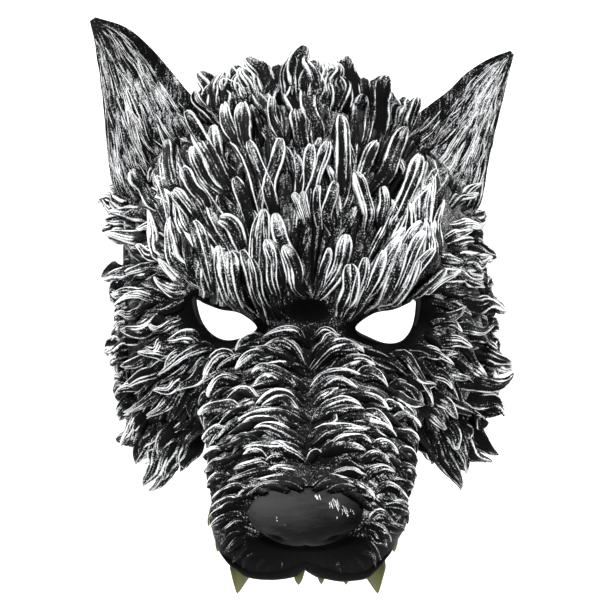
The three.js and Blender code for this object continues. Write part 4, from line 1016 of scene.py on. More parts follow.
def sizes(p):
    """Length, half width, height, lift, form and paint of the fur at places on the form."""
    q = even(p)
    ax = np.abs(q[:, 0])
    wf = fore_share(q)
    wm = muzzle_share(q)
    t, angle = round_muzzle(q)
    small = wm * np.maximum(smooth(t, 0.70, 0.90), smooth(angle, 0.95, 1.3))
    mix = lambda fore, side, snout, tiny: ((fore * wf + side * (1 - wf)) * (1 - wm) + snout * wm) * (1 - small) + tiny * small
    form = wf[:, None] * FINGER + (1 - wf[:, None]) * LEAF
    form = form * (1 - wm[:, None]) + wm[:, None] * LENS
    return dict(long=mix(44, 30, 21, 12), half=mix(3.9, 3.9, 4.2, 2.8), tall=mix(3.0, 3.0, 2.6, 1.4), lift=mix(2.6, 3.0, 0.6, 0.2),
                across=mix(6.2, 6.2, 6.0, 4.0), along=mix(30, 16, 13, 8), paint=mix(1.06, 1.35, 1.25, 0.9), form=form, wf=wf, wm=wm, small=small)


# The frown is kept free of locks so that it stays black, as painted shadow of the brows.
def in_frown(p):
    q = even(p)
    return (np.abs(q[..., 0]) < 8) & (q[..., 2] > 1) & (q[..., 2] < 11) & (q[..., 1] < 10)


# How far the fill may reach on the front view: up the crown, out to the sides, and toward the ears.
SIDE_LIMIT = np.array([(-90, 80, 82), (-60, 86, 87), (-40, 90, 91), (-10, 92, 92), (15, 93, 87), (40, 93, 85), (70, 94, 82), (200, 94, 82)], float)
LEFT_EAR = np.array([(-120, 60), (-99, 75), (-69, 95), (-60, 118), (-58, 190)], float)
RIGHT_EAR = np.array([(58, 190), (61, 108), (67.6, 95), (77, 82), (90, 69), (120, 45)], float)


def within_outline(path):
    x, z = path[..., 0], path[..., 2]
    ok = z < 127 - 16 * (x / 60) ** 2
    ok &= (x > -np.interp(z, SIDE_LIMIT[:, 0], SIDE_LIMIT[:, 1])) & (x < np.interp(z, SIDE_LIMIT[:, 0], SIDE_LIMIT[:, 2]))
    ok &= (z < np.interp(x, LEFT_EAR[:, 0], LEFT_EAR[:, 1])) | (x > -58)
    ok &= (z < np.interp(x, RIGHT_EAR[:, 0], RIGHT_EAR[:, 1])) | (x < 58)
    return ok.all(1)


def candidates(n):
    theta = rng.uniform(-math.pi, math.pi, n)
    psi = edge_psi(theta) * np.sqrt(rng.uniform(0, 1, n)) * 0.995
    p = reach(direction(theta, psi), 0.0)
    return p[~furless(p) & (eye_distance(p)[0] > 1.2)]


def clear_of_eyes(path, half):
    return (eye_distance(path[:, :-1])[0] > 0.35 * half[:, None]).all(1)


def clear_of_slots(path):
    return ~((np.abs(path[..., 2] - STRAP_Z) < 7.5) & (np.abs(path[..., 0]) > 82) & (path[..., 1] > 36)).any(1)


def silver(p):
    """More silver on the temples, less low on the cheeks."""
    return 0.68 + 0.27 * smooth(p[..., 2], -62, -22) + 0.22 * smooth(p[..., 2], 0, 40)


def add_locks(locks, p, size, scale=(1.0, 1.0, 1.0, 1.0), thin=False, paint=1.0):
    """Locks at places on the form. scale: of length, width, height and lift."""
    n = len(p)
    jig = lambda s: rng.uniform(1 - s, 1 + s, n)
    rim = toward_rim(p)
    long = size["long"] * jig(0.25) * scale[0]
    centre = 0.18 + 0.34 * smooth(rim, 0.72, 1.0)
    follow = 1 - 0.85 * smooth(rim, 0.70, 0.95) * (1 - smooth(-p[:, 1], 14, 30) * smooth(-p[:, 2], 25, 40))
    jaw = smooth(-p[:, 1], 14, 30) * smooth(-p[:, 2], 25, 40)
    top = smooth(p[:, 2], 50, 90)
    rise = (0.75 + 0.5 * top) * smooth(rim, 0.70, 0.97) * (1 - jaw)
    if thin:                               # strands lie close
        fore = size["wf"] * (1 - smooth(p[:, 2], 85, 105))
        follow, rise = follow + (1 - follow) * fore, rise * (1 - fore)
    path, norm = grow(p, long, rng.normal(0, 0.9, n), centre, locks.along, follow, rise, rng.normal(0, 0.16, n))
    path = path - norm * (1.1 * size["small"])[:, None, None]
    half = size["half"] * jig(0.22) * scale[1]
    ok = clear_of_eyes(path, np.maximum(half, 9.0) if thin else half) & clear_of_slots(path) & within_outline(path)
    ok &= (jaw < 0.3) | (toward_rim(path).max(1) < 0.985)
    ok &= ~in_frown(path[:, :8]).any(1) & (oval(PAD, 1, even(path)) > 1.0 + 0.5 * half[:, None]).all(1)
    ok &= ~((path[..., 2] < -58) & (np.abs(path[..., 0]) < 57) & (path[..., 1] > -42)).any(1) & ~((path[..., 2] < -92) & (path[..., 1] < -60)).any(1)
    if thin:
        ok &= (unit(path[:, 1] - path[:, 0]) * unit(path[:, -1] - path[:, -2])).sum(1) > 0.45
        at, up = ridges(n, "strand")
    else:
        kind = np.where(size["wm"] > 0.5, 2, np.where(size["wf"] > 0.5, 0, 1))
        at, up = np.zeros((n, 5)), np.zeros((n, 5))
        for k, name in enumerate(("finger", "leaf", "arc")):
            a, u = ridges(n, name)
            if name == "arc":
                left = even(p)[:, 0] < 0
                a[left], u[left] = -a[left][:, ::-1], u[left][:, ::-1]
            at[kind == k], up[kind == k] = a[kind == k], u[kind == k]
    tall, lift = size["tall"] * jig(0.2) * scale[2], size["lift"] * jig(0.4) * scale[3]
    locks.add(path[ok], norm[ok], half[ok], tall[ok], lift[ok], size["form"][ok], at[ok], up[ok], (size["paint"] * jig(0.15) * paint * np.where(size["wm"] + size["wf"] < 0.5, silver(p), 1.0 - 0.14 * smooth(p[:, 2], 75, 100)))[ok], sink=0.7, root_paint=0.45, soft=0.9 * size["wm"][ok], haze=(0.08 + 0.04 * size["wf"])[ok])
    return path[ok]


def past_outline(line, step, beyond=0):
    """Lines of the front view laid on the form; past its outline, `beyond` pixels or more from the middle, they go on at about the depth they had."""
    p = seen(line[..., 0], line[..., 1])
    aim = np.stack([(line[..., 0] - 300) / FOCAL, np.ones(line.shape[:2]), (300 - line[..., 1]) / FOCAL], -1)
    for k in range(len(p)):
        for s in range(1, p.shape[1]):
            if np.isnan(p[k, s, 0]) or (p[k, s, 1] > p[k, s - 1, 1] + step and abs(line[k, s, 0] - 309) >= beyond):
                y = p[k, s - 1, 1] + 0.12 * np.linalg.norm(line[k, s] - line[k, s - 1])
                p[k, s] = CAMERA + aim[k, s] * (y - CAMERA[1])
    return p


def chart_paths(chart, along, bend=0.12):
    """Charted locks laid on the form as the camera sees it."""
    tip, root = chart[:, 0:2], chart[:, 2:4]
    t = along[None, :, None]
    side = np.stack([-(tip - root)[:, 1], (tip - root)[:, 0]], 1)
    bow = rng.uniform(-bend, bend, len(chart))[:, None, None]
    line = root[:, None] + (tip - root)[:, None] * t + side[:, None] * bow * 4 * t * (1 - t)
    return past_outline(line, 6)


def arc_paths(chart, along):
    """Charted arcs laid on the form as the camera sees it."""
    root, top, tip = chart[:, 0:2], chart[:, 2:4], chart[:, 4:6]
    t = along[None, :, None]
    knee = 2 * top - (root + tip) / 2
    line = (1 - t) ** 2 * root[:, None] + 2 * t * (1 - t) * knee[:, None] + t**2 * tip[:, None]
    return past_outline(line, 3, 84)


def head_fur():
    spots = candidates(11000)
    # main locks of the forehead, by the chart
    main = Locks(FINE, 5)
    chart = CHART.copy()
    chart[:, 2:4] += 0.4 * (chart[:, 2:4] - chart[:, 0:2]) * smooth(250 - chart[:, 3:4], 0, 40)
    path = chart_paths(chart, FINE)
    good = ~np.isnan(path).any((1, 2))
    path, wide = path[good], CHART[good, 4]
    at, up = ridges(len(path), "finger")
    crown = smooth(path[:, 7, 2], 72, 100)
    main.add(path, unit(slope(path)), wide * 0.27, 4.3, 4.4, FINGER, at, up, 1.18 - 0.15 * crown + 0.3 * (np.abs(CHART[good, 2] - 311) < 8) * (CHART[good, 3] > 290), sink=np.where(CHART[good, 3] > 298, 0.3, 0.55), root_paint=0.6, haze=0.12 - 0.06 * crown)
    taken = path[:, 2:-2:2].reshape(-1, 3)
    # pointed tufts of the temples and cheeks
    side = Locks(FINE, 5)
    path = chart_paths(SIDE_CHART, FINE, 0.2)
    good = ~np.isnan(path).any((1, 2)) & clear_of_slots(path) & clear_of_eyes(path[:, 2:], SIDE_CHART[:, 4] * 0.1)
    path, wide = path[good], SIDE_CHART[good, 4]
    at, up = ridges(len(path), "leaf")
    side.add(path, unit(slope(path)), wide * 0.34, wide * 0.25, 1.6, 0.15 * FINGER + 0.85 * LEAF, at, up, silver(path[:, 6]) * 1.4, sink=0.5, root_paint=0.5, haze=0.06 + 0.12 * smooth(path[:, 6, 2], 0, 30))
    taken = np.vstack([taken, path[:, 2:-2:2].reshape(-1, 3)])
    # arcs of the muzzle
    snout = Locks(FINE, 5)
    arc = arc_paths(ARC_CHART, FINE)
    good = ~np.isnan(arc).any((1, 2)) & clear_of_eyes(arc, ARC_CHART[:, 6] * 0.1)
    arc, chart = arc[good], ARC_CHART[good]
    arc = arc - unit(slope(arc)) * (0.9 * smooth(chart[:, 5], 430, 490))[:, None, None]
    at, up = ridges(len(arc), "arc")
    left = chart[:, 4] < chart[:, 0]
    at[left], up[left] = -at[left][:, ::-1], up[left][:, ::-1]
    flank = smooth(np.abs(chart[:, 4] - 309), 90, 104)[:, None]
    low = smooth(chart[:, 1], 482, 487) * (np.abs(chart[:, 4] - 305) < 70)
    snout.add(arc, unit(slope(arc)), chart[:, 6] * 0.44, chart[:, 6] * (0.29 - 0.12 * low), 0.2, LENS * (1 - 0.6 * flank) + FINGER * 0.6 * flank, at, up, 1.48 - 0.36 * smooth(chart[:, 5], 430, 500) - 0.18 * smooth(chart[:, 5], 500, 530) - 0.06 * smooth(chart[:, 5], 468, 484) * (np.abs(chart[:, 4] - 305) < 66), sink=0.35 - 0.15 * smooth(chart[:, 1], 450, 475), root_paint=0.6, seat=2.0, soft=0.9, haze=0.09 - 0.06 * smooth(chart[:, 1], 450, 475))
    taken = np.vstack([taken, arc[:, 2:-2:2].reshape(-1, 3)])
    fold = arc_paths(LIP_CHART, FINE)
    good = ~np.isnan(fold).any((1, 2))
    fold, chart = fold[good], LIP_CHART[good]
    at, up = ridges(len(fold), "arc")
    left = chart[:, 4] < chart[:, 0]
    at[left], up[left] = -at[left][:, ::-1], up[left][:, ::-1]
    out = smooth(np.abs(chart[:, 4] - 304), 50, 85)
    snout.add(fold - unit(slope(fold)) * 0.8, unit(slope(fold)), chart[:, 6] * 0.40, chart[:, 6] * 0.26, 0.1, LENS, at, up, 0.20 + 0.50 * out, sink=0.35, root_paint=0.5, seat=1.6, soft=0.9, haze=0.03)
    taken = np.vstack([taken, fold[:, 2:-2:2].reshape(-1, 3)])
    # the rest of the head
    fill = Locks(FINE, 5)
    size = sizes(spots)
    pick = spread(spots, size["across"], size["along"], taken)
    part = lambda i: {k: v[i] for k, v in size.items()}
    pick = pick[(size["wf"][pick] < 0.5) | (size["wm"][pick] > 0.5) | (spots[pick][:, 2] > 92)]
    add_locks(fill, spots[pick], part(pick))
    # thinner strands under them
    under = Locks(PLAIN, 3)
    order = rng.permutation(len(spots))
    low_pick = order[spread(spots[order], size["across"][order] * 0.62, size["along"][order] * 0.7)]
    wf = size["wf"][low_pick] * (1 - size["wm"][low_pick]) * (1 - smooth(spots[low_pick][:, 2], 40, 70))
    add_locks(under, spots[low_pick], part(low_pick), (0.85 + 0.65 * wf, 0.72, 0.55, 0.10), True, 0.6 + 0.32 * wf)
    # short flat fur on the turn of the sides, behind the outline
    turn = Locks(PLAIN, 3)
    back = spots[(toward_rim(spots) > 0.66) & (spots[:, 1] > 22) & (np.abs(spots[:, 0]) > 58)]
    back = back[spread(back, np.full(len(back), 4.2), np.full(len(back), 9.0))]
    n = len(back)
    path, norm = grow(back, rng.uniform(14, 22, n), rng.normal(0, 0.5, n), np.full(n, 0.3), PLAIN, np.ones(n), 0.0, rng.normal(0, 0.12, n))
    ok = clear_of_slots(path) & (toward_rim(path).max(1) < 1.06)
    at, up = ridges(n, "strand")
    turn.add(path[ok], norm[ok], rng.uniform(2.6, 3.6, n)[ok], rng.uniform(1.4, 2.0, n)[ok], 0.5, LEAF, at[ok], up[ok], (silver(back) * rng.uniform(0.9, 1.2, n))[ok], sink=0.5, root_paint=0.5)
    # tufts of the outline, each with a smaller one on either side
    edge = Locks(FINE, 5)
    tips, roots, half = TUFTS[:, 0:3], TUFTS[:, 3:6], TUFTS[:, 6]
    roots = reach(unit(even(roots) - HEART), 0.0)
    v = FINE[None, :, None]
    for shift, scale, wide_by in ((0, 1.0, 1.25), (1, 0.6, 1.0), (-1, 0.66, 1.0)):
        along = unit(tips - roots)
        out = unit(slope(roots))
        across = unit(np.cross(along, out))
        top = tips[:, 2] > 100
        right = (tips[:, 0] > 60) & ~top
        scale = (np.where(right, 0.4, scale + 0.14 * top) if shift else np.ones(len(half)))[:, None]
        wide_by = np.where(right, 0.84, 1.0) * wide_by
        r0 = roots + across * (half * np.where(top, 0.8, 1.1) * shift)[:, None]
        t1 = r0 + (tips - roots) * scale + across * (half * 0.35 * shift * rng.uniform(0, 1, len(half)))[:, None]
        knee = r0 + (t1 - r0) * 0.45 + out * 3.0
        path = (1 - v) ** 2 * (r0 - along * 4)[:, None] + 2 * v * (1 - v) * knee[:, None] + v**2 * t1[:, None]
        ok = clear_of_slots(path)
        at, up = ridges(len(half), "leaf")
        form = np.where(top[:, None], 0.4 * FINGER + 0.6 * LEAF, LEAF)
        face = np.where(top[:, None], unit(0.35 * out + np.array([0, -1.0, 0])), out)
        edge.add(path[ok], np.broadcast_to(face[:, None], path.shape)[ok], (half * np.where(top, 1.15 * wide_by * rng.uniform(0.75, 1.05, len(half)), 1.12 * wide_by))[ok], (half * 0.75)[ok], 0.5, form[ok], at[ok], up[ok], ((1.25 - 0.25 * top) * silver(tips))[ok], belly=0.45, sink=0.35, root_paint=0.5, seat=0.0, haze=0.05)
    return dict(fur_main=main, fur_side=side, fur_muzzle=snout, fur_fill=fill, fur_under=under, fur_turn=turn, fur_edge=edge)


skin()
eye_rims()
for name, locks in head_fur().items():
    for obj in locks.objects(name, FUR):
        keep(obj, "shell", "mask_shell")


# ---------------------------------------------------------------- nose
def nose():
    x, y, z, rx, ry, rz, pitch = PAD[:7]
    nu, nv = 96, 56
    lon = np.linspace(-math.pi, math.pi, nu, endpoint=False)
    lat = np.linspace(-math.pi / 2, math.pi / 2, nv)
    lo, la = np.meshgrid(lon, lat)
    sx = np.sign(np.sin(lo)) * np.abs(np.sin(lo)) ** 0.9
    p = np.stack([sx * np.cos(la), -np.cos(lo) * np.cos(la), np.sin(la)], -1)
    u, w = p[..., 0], p[..., 2]
    front = smooth(-p[..., 1], 0.0, 0.5)
    swell = 1 + 0.03 * front * np.cos(u * 3.0)
    for s in (1, -1):
        swell -= 0.16 * front * np.exp(-((u - s * 0.58) / 0.2) ** 2 - ((w + 0.42 + 0.25 * (u * s - 0.58)) / 0.16) ** 2)
    swell -= 0.05 * front * np.exp(-(u / 0.07) ** 2) * smooth(-w, 0.1, 0.6)
    local = p * swell[..., None] * np.array([rx, ry, rz])
    c, s = math.cos(math.radians(pitch)), math.sin(math.radians(pitch))
    v = np.stack([local[..., 0], local[..., 1] * c - local[..., 2] * s, local[..., 1] * s + local[..., 2] * c], -1) + np.array([x, y, z])
    v = tuck(settle(v))
    # Painted light and shade in the nose's colour, kept in its paint attribute: lighter on top and at the left, darker
    # low, in the middle and at the right end as painted shade, and a lighter line along its lower-left rim.
    rim = np.exp(-((np.hypot(u, w) - 0.95) / 0.06) ** 2) * smooth(-u, 0.05, 0.4) * smooth(-w, 0.1, 0.4)
    shade = 0.55 + 0.45 * w - 0.32 * u - 0.3 * np.exp(-((u - 0.1) / 0.5) ** 2 - ((w + 0.25) / 0.4) ** 2) - 0.25 * smooth(-w, 0.2, 0.6) - 0.35 * smooth(u, 0.55, 0.95) + 0.75 * rim
    obj = mesh_object("nose", v.reshape(-1, 3), grid_faces(nv, nu, wrap=True), NOSE, {"paint": shade.reshape(-1)})
    keep(obj, "shell", "mask_shell")
    # short silver strokes on its upper right
    clumps = np.repeat(np.array([(317, 495, 4, 5), (334, 500, 6, 8), (348, 508, 6, 7), (339, 514, 9, 3), (279, 519, 9, 2.5)]), (6, 11, 9, 4, 3), axis=0)
    n = len(clumps)
    top = clumps[:, :2] + clumps[:, 2:3] * rng.uniform(-1, 1, (n, 2)) * np.array([1, 0.35]) + np.array([0, 0.4]) * (rng.uniform(-1, 1, (n, 1)) * clumps[:, 2:3])
    end = top + clumps[:, 3:4] * np.stack([rng.uniform(-0.1, 0.6, n), rng.uniform(0.5, 1.2, n)], 1)
    t = PLAIN[None, :, None]
    line = top[:, None] * (1 - t) + end[:, None] * t
    aim = np.stack([(line[..., 0] - 300) / FOCAL, np.ones(line.shape[:2]), (300 - line[..., 1]) / FOCAL], -1)
    far = np.full(line.shape[:2], 770.0)
    for _ in range(120):
        far = np.where(oval(PAD, 1, even(CAMERA + aim * far[..., None])) > 0.45, far + 0.25, far)
    path = CAMERA + aim * far[..., None]
    out = unit(path - np.array(PAD[:3]))
    ok = far.max(1) < 799
    at, up = ridges(n, "strand")
    strokes = Locks(PLAIN, 3)
    strokes.add(path[ok], out[ok], rng.uniform(0.28, 0.5, n)[ok], 0.2, 0.0, LENS, at[ok], 0.6 + 0.4 * up[ok], 1.5, sink=0.0, root_paint=1.0, seat=0.2)
    for obj in strokes.objects("nose_strokes", FUR):
        keep(obj, "shell", "mask_shell")


nose()


# ---------------------------------------------------------------- ears
def ears():
    for side, rows in EARS.items():
        fine = open_curve(rows, 44)
        s = np.linspace(0, 1, 26)[None, :]
        bow = 4 * s * (1 - s)
        x = fine[:, 0:1] + (fine[:, 2:3] - fine[:, 0:1]) * s
        z = fine[:, 1:2] + (fine[:, 3:4] - fine[:, 1:2]) * s
        y = fine[:, 4:5] + fine[:, 5:6] * (bow - 0.5)
        thick = EAR_THICK * (0.45 + 0.55 * bow) * np.clip(fine[:, 5:6] / 2, 0.35, 1)
        front = np.stack([x, y - thick / 2, z], -1)
        back = np.stack([x, y + thick / 2, z], -1)[:, ::-1]
        ring = tuck(np.concatenate([front, back], 1))
        n = ring.shape[1]
        v = np.linspace(0, 1, 44)[:, None]
        border = smooth(s, 0.78, 0.84)
        shade = (0.42 - 0.17 * border) * (1 - 0.5 * smooth(v, 0.6, 0.9)) + 0.0 * s
        shade = np.concatenate([shade, 0.6 * shade[:, ::-1]], 1)
        run = np.concatenate([np.diff(fine[:, :2], axis=0), np.zeros((1, 2))])
        run = np.concatenate([[0], np.cumsum(np.hypot(run[:, 0], run[:, 1]))[:-1]])
        lay = np.zeros((*ring.shape[:2], 3))
        lay[..., 0] = np.concatenate([s, s[:, ::-1]], 1) * np.hypot(fine[:, 2] - fine[:, 0], fine[:, 3] - fine[:, 1])[:, None]
        lay[..., 1] = run[:, None]
        keep(mesh_object(f"ear_{side}", ring.reshape(-1, 3), grid_faces(44, n, wrap=True, flip=side == "left"), FUR,
                         {"paint": shade.reshape(-1), "lay": lay.reshape(-1, 3)}), "shell", "mask_shell")
        # hair that runs from the base to the tip, front and back; the inner border stays bare
        hair = Locks(PLAIN, 3)
        for face, grid, count in ((1, front, 120), (-1, back[:, ::-1], 60)):
            norm = unit(np.cross(np.gradient(grid, axis=1), np.gradient(grid, axis=0)))
            norm *= np.sign((norm * np.array([0, -face, 0])).sum(-1, keepdims=True))
            fixed = np.array([(0.03, 0.05), (0.03, 0.25), (0.035, 0.45), (0.04, 0.62), (0.80, 0.05), (0.805, 0.25), (0.80, 0.45), (0.79, 0.66), (0.9, 0.0), (0.87, 0.1)])
            s0 = np.concatenate([rng.uniform(0.04, 0.78, count), fixed[:, 0]])
            v0 = np.concatenate([rng.uniform(-0.05, 0.70, count), fixed[:, 1]])
            many = len(s0)
            long = rng.uniform(0.16, 0.36, many) * (1 - 0.35 * v0)
            long[count:] = 0.26
            drift = rng.normal(-0.03, 0.05, many)
            drift[count:] = 0
            vv = np.clip(v0[:, None] + PLAIN[None] * long[:, None], 0, 0.985)
            ss = np.clip(s0[:, None] + drift[:, None] * PLAIN[None], 0.03, 0.97)
            fi, fj = vv * 43, ss * 25
            i, j = fi.astype(int).clip(0, 42), fj.astype(int).clip(0, 24)
            a, b = (fi - i)[..., None], (fj - j)[..., None]
            pick = lambda g: g[i, j] * (1 - a) * (1 - b) + g[i + 1, j] * a * (1 - b) + g[i, j + 1] * (1 - a) * b + g[i + 1, j + 1] * a * b
            at, up = ridges(many, "strand")
            half = rng.uniform(1.0, 2.3, many) * (1 - 0.4 * v0.clip(0))
            hair.add(pick(grid), unit(pick(norm)), half, rng.uniform(1.0, 1.6, many), 0.4,
                     0.4 * LEAF + 0.6 * LENS, at, up, (1.42 if face > 0 else 1.05) * (1 - 0.45 * v0.clip(0)), sink=0.5, root_paint=0.7, seat=0.5)
        for obj in hair.objects(f"ear_hair_{side}", FUR):
            keep(obj, "shell", "mask_shell")


ears()


# ---------------------------------------------------------------- teeth
# Small teeth set closer to the lip than in the CAD: shift across and up; the side ones lean out.
LIP_TEETH = {"premolar_left_1": (-8.2, 0.5), "premolar_left_2": (-16.4, 1.0), "premolar_left_3": (-9.5, 0.0),
             "premolar_right_1": (3.0, 0.5), "premolar_right_2": (6.5, 1.0), "premolar_right_3": (5.5, 0.0),
             "incisor_left_1": (0.8, -2.2), "incisor_left_2": (-5.0, 0.4), "incisor_right_1": (0.3, -2.9), "incisor_right_2": (2.0, -2.3)}


def teeth():
    for name in [n for n in frame["nodes"] if n.startswith(("fang", "incisor", "premolar"))]:
        a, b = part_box(name)
        a, b = np.array(a) * 1000 + SEAT, np.array(b) * 1000 + SEAT
        long, half = b[2] - a[2], (b[0] - a[0]) / 2
        fang = name.startswith("fang")
        back = {"fang": 3.0, "incisor": 2.0, "premolar": 1.0}[name.split("_")[0]]
        flat = {"fang": 0.8, "incisor": 0.7, "premolar": 0.8}[name.split("_")[0]]
        nv, nu = 26, 24
        t = np.linspace(0, 1, nv)
        keys = np.array([(0, 0.0), (0.05, 0.24), (0.2, 0.54), (0.5, 0.87), (0.78, 1.0), (0.96, 0.86), (1.0, 0.0)])
        r = np.interp(t, keys[:, 0], keys[:, 1]) * half
        r = np.convolve(np.pad(r, 2, mode="edge"), [0.1, 0.2, 0.4, 0.2, 0.1], "valid")
        r[0] = r[-1] = 0.02
        out = 1 if "right" in name else -1
        if fang:
            r = half * np.interp(t, [0, 0.04, 0.12, 0.3, 0.5, 0.8, 0.97, 1], [0.01, 0.18, 0.40, 0.86, 1.32, 1.4, 1.2, 0.01])
        w = np.linspace(0, 2 * math.pi, nu, endpoint=False)
        flute = 1 + 0.035 * np.cos(w * 7)[None, :] * smooth(t, 0.1, 0.6)[:, None]
        x = r[:, None] * np.cos(w)[None, :] * flute
        y = r[:, None] * np.sin(w)[None, :] * flat * flute + back * (t**2)[:, None]
        z = np.repeat((t * long)[:, None], nu, 1)
        cx = (a[0] + b[0]) / 2
        if fang:
            x = x + out * half * (0.62 * np.clip(1 - t / 0.6, 0, 1) - 0.06)[:, None] - out * 2.1
            z = z * (long + 2) / long - 2
        if name in LIP_TEETH:
            lean = (1 - 0.45 * t)[:, None] if name.startswith("premolar") else 1.0
            x, z = x + LIP_TEETH[name][0] * lean, z + LIP_TEETH[name][1]
        y0 = a[1] - (y.min())
        v = np.stack([x + cx, y + y0, z + a[2]], -1)
        obj = mesh_object(f"tooth_{name}", v.reshape(-1, 3), grid_faces(nv, nu, wrap=True), TOOTH, {"height": np.repeat(t, nu)})
        keep(obj, "tooth", name)


teeth()


# ---------------------------------------------------------------- strap
SLOT_WIDE, SLOT_FROM_EDGE, GAP = 4.4, 8.0, 0.4
STRAP_LINE = np.array([(84, 92), (76, 122), (58, 147), (31, 162)], float)
STRAP_BACK = 167.0


def strap_seat(side):
    aim = np.array([side * 88.0, 57.0, STRAP_Z]) - HEART
    theta = np.array([math.atan2(aim[0], aim @ POLE_UP)])
    y = reach(direction(theta, edge_psi(theta)), 0.0)[0, 1]

    def faces(level):
        to = np.array([(side * 88.0, yy, STRAP_Z + z * STRAP_WIDE) for yy in (y, y - SLOT_FROM_EDGE, y - SLOT_FROM_EDGE - SLOT_WIDE) for z in (-0.5, 0, 0.5)])
        return reach(unit(to - HEART), level)[:, 0] * side

    return dict(y=y, slot=y - SLOT_FROM_EDGE - SLOT_WIDE / 2, out=side * (faces(0.0).max() + STRAP_THICK / 2 + 2 * GAP), inn=side * (faces(-WALL).min() - STRAP_THICK / 2 - 2 * GAP))


def even_path(points, count):
    """Evenly spaced points of a centripetal curve through points."""
    p = np.vstack([2 * points[0] - points[1], points, 2 * points[-1] - points[-2]])
    out = []
    for k in range(1, len(p) - 2):
        q = p[k - 1:k + 3]
        t = np.concatenate([[0], np.cumsum(np.maximum(np.linalg.norm(np.diff(q, axis=0), axis=1), 1e-6) ** 0.5)])
        u = np.linspace(t[1], t[2], 40, endpoint=False)[:, None]
        a1 = (t[1] - u) / (t[1] - t[0]) * q[0] + (u - t[0]) / (t[1] - t[0]) * q[1]
        a2 = (t[2] - u) / (t[2] - t[1]) * q[1] + (u - t[1]) / (t[2] - t[1]) * q[2]
        a3 = (t[3] - u) / (t[3] - t[2]) * q[2] + (u - t[2]) / (t[3] - t[2]) * q[3]
        b1 = (t[2] - u) / (t[2] - t[0]) * a1 + (u - t[0]) / (t[2] - t[0]) * a2
        b2 = (t[3] - u) / (t[3] - t[1]) * a2 + (u - t[1]) / (t[3] - t[1]) * a3
        out.append((t[2] - u) / (t[2] - t[1]) * b1 + (u - t[1]) / (t[2] - t[1]) * b2)
    line = np.vstack([*out, points[-1:]])
    s = np.concatenate([[0], np.cumsum(np.linalg.norm(np.diff(line, axis=0), axis=1))])
    e = np.linspace(0, s[-1], count)
    return np.stack([np.interp(e, s, line[:, k]) for k in range(2)], 1), e


def band(name, points, count):
    path, run = even_path(points, count)
    t = np.gradient(path, axis=0)
    t /= np.linalg.norm(t, axis=1, keepdims=True)
    n = np.stack([t[:, 1], -t[:, 0]], 1)
    # a flat section with soft edges and fine cords along it
    across = np.linspace(-1, 1, 33)
    body = STRAP_THICK / 2 * np.clip(1 - np.abs(across) ** 10, 0, 1) ** 0.5
    rib = 0.07 * np.cos(across * math.pi * 8)
    top = np.stack([body + rib * (np.abs(across) < 0.97), across * STRAP_WIDE / 2], 1)
    sec = np.vstack([top, (top * np.array([-1, 1]))[::-1][1:-1]])
    m = len(sec)
    crimp = 1 + 0.06 * np.cos(run * 2 * math.pi / 1.6)
    off = sec[None, :, 0] * crimp[:, None]
    v = np.zeros((count, m, 3))
    v[..., :2] = path[:, None] + n[:, None] * off[..., None]
    v[..., 2] = STRAP_Z + sec[None, :, 1]
    lay = np.zeros_like(v)
    lay[..., 0] = sec[None, :, 1]
    lay[..., 1] = run[:, None]
    ends = [np.arange(m)[None, :], (np.arange(m)[::-1] + (count - 1) * m)[None, :]]
    return mesh_object(name, v.reshape(-1, 3), [grid_faces(count, m, wrap=True), *ends], STRAP, {"lay": lay.reshape(-1, 3)}), run[-1]


def strap():
    r, l = strap_seat(1), strap_seat(-1)
    inside = lambda e, s: np.array([(e["inn"], e["slot"]), (e["inn"], e["y"] - 3), (e["inn"] - s * 0.2, e["y"] + 7)])
    mirror = STRAP_LINE * np.array([-1, 1])
    main = np.vstack([inside(l, -1), mirror, [(0, STRAP_BACK)], STRAP_LINE[::-1], inside(r, 1)[::-1]])
    obj, length = band("strap_band", main, 420)
    keep(obj, "strap", "strap")
    total = length
    for e, s, name in ((r, 1, "strap_loop_right"), (l, -1, "strap_loop_left")):
        mid = (e["inn"] + e["out"]) / 2
        hook = np.array([(e["inn"], e["slot"] + 0.5), (e["inn"] + s * 0.8, e["slot"]), (mid, e["slot"]), (e["out"] - s * 0.8, e["slot"]), (e["out"], e["slot"] + 0.7),
                         (e["out"], e["slot"] + 4), (e["out"], e["y"]), (e["out"] - s * 0.5, e["y"] + 2.5), (mid + s * 0.5, e["y"] + 6), (e["inn"] + s * 0.9, e["y"] + 10), (e["inn"] - s * 0.2, e["y"] + 15)])
        obj, length = band(name, hook, 70)
        keep(obj, "strap", "strap")
        total += length
    print("strap length mm", round(total, 1))


strap()


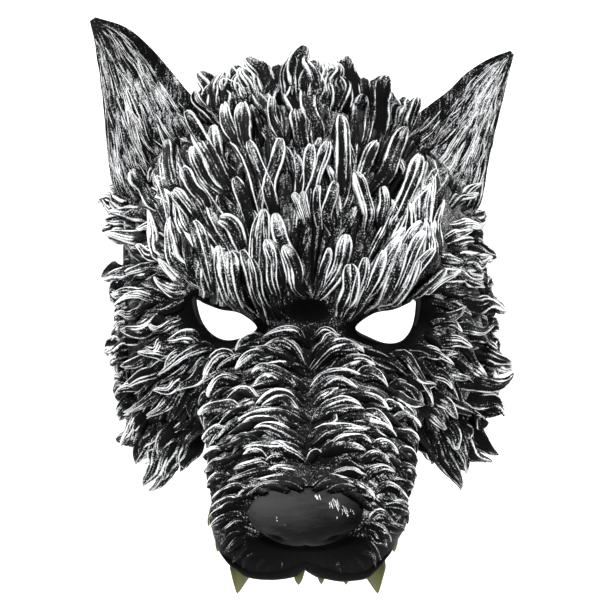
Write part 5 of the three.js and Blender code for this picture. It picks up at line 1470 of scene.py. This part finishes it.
# ---------------------------------------------------------------- stage, light, camera
def stage():
    scene = bpy.context.scene
    mat, t, bsdf = nodes_of("backdrop_white")
    bsdf.inputs["Base Color"].default_value = (0.92, 0.92, 0.92, 1)
    bsdf.inputs["Roughness"].default_value = 0.9
    depth, radius, floor = 3.2, 1.2, -1.40
    prof = [(-3.0, floor), (depth - radius, floor)]
    prof += [(depth - radius + radius * math.sin(a), floor + radius - radius * math.cos(a)) for a in np.linspace(0, math.pi / 2, 24)[1:]]
    prof += [(depth, 3.0)]
    prof = np.array(prof)
    xs = np.array([-3.0, 3.0])
    v = np.array([(x, y, z) for y, z in prof for x in xs]) * 1000 + SEAT
    obj = mesh_object("backdrop", v, grid_faces(len(prof), 2), mat)
    world = bpy.data.worlds.new("studio")
    scene.world = world
    world.use_nodes = True
    bg = world.node_tree.nodes["Background"]
    bg.inputs[0].default_value = (1, 1, 1, 1)
    bg.inputs[1].default_value = 0.27

    def area(name, at, aim, size, power):
        data = bpy.data.lights.new(name, "AREA")
        data.shape, data.size, data.size_y, data.energy = "RECTANGLE", size[0], size[1], power
        o = bpy.data.objects.new(name, data)
        scene.collection.objects.link(o)
        from mathutils import Vector
        o.location = at
        o.rotation_euler = (Vector(aim) - Vector(at)).to_track_quat("-Z", "Y").to_euler()

    area("key", (-0.55, -1.1, 1.1), (0, 0, 0), (0.9, 0.7), 27)
    area("fill", (0.9, -0.9, 0.5), (0, 0, 0), (0.7, 0.9), 8.2)
    area("bounce", (0, -0.6, -1.15), (0, 0, 0), (2.8, 1.6), 30)
    area("back_left", (-1.7, 0.9, 1.9), (0.2, 2.4, -0.1), (1.6, 1.6), 112)
    area("back_right", (1.7, 0.9, 1.9), (-0.2, 2.4, -0.1), (1.6, 1.6), 112)
    cam = bpy.data.cameras.new("camera")
    cam.sensor_width, cam.lens = 36.0, 36.0 * FOCAL / 600
    cam.clip_start, cam.clip_end = 0.05, 20
    o = bpy.data.objects.new("camera", cam)
    scene.collection.objects.link(o)
    o.location = (CAMERA - SEAT) * 0.001
    o.rotation_euler = (math.pi / 2, 0, 0)
    scene.camera = o
    scene.view_settings.view_transform = "Standard"
    scene.view_settings.look = "None"
    scene.view_settings.exposure = 0.0
    scene.view_settings.gamma = 1.0


stage()
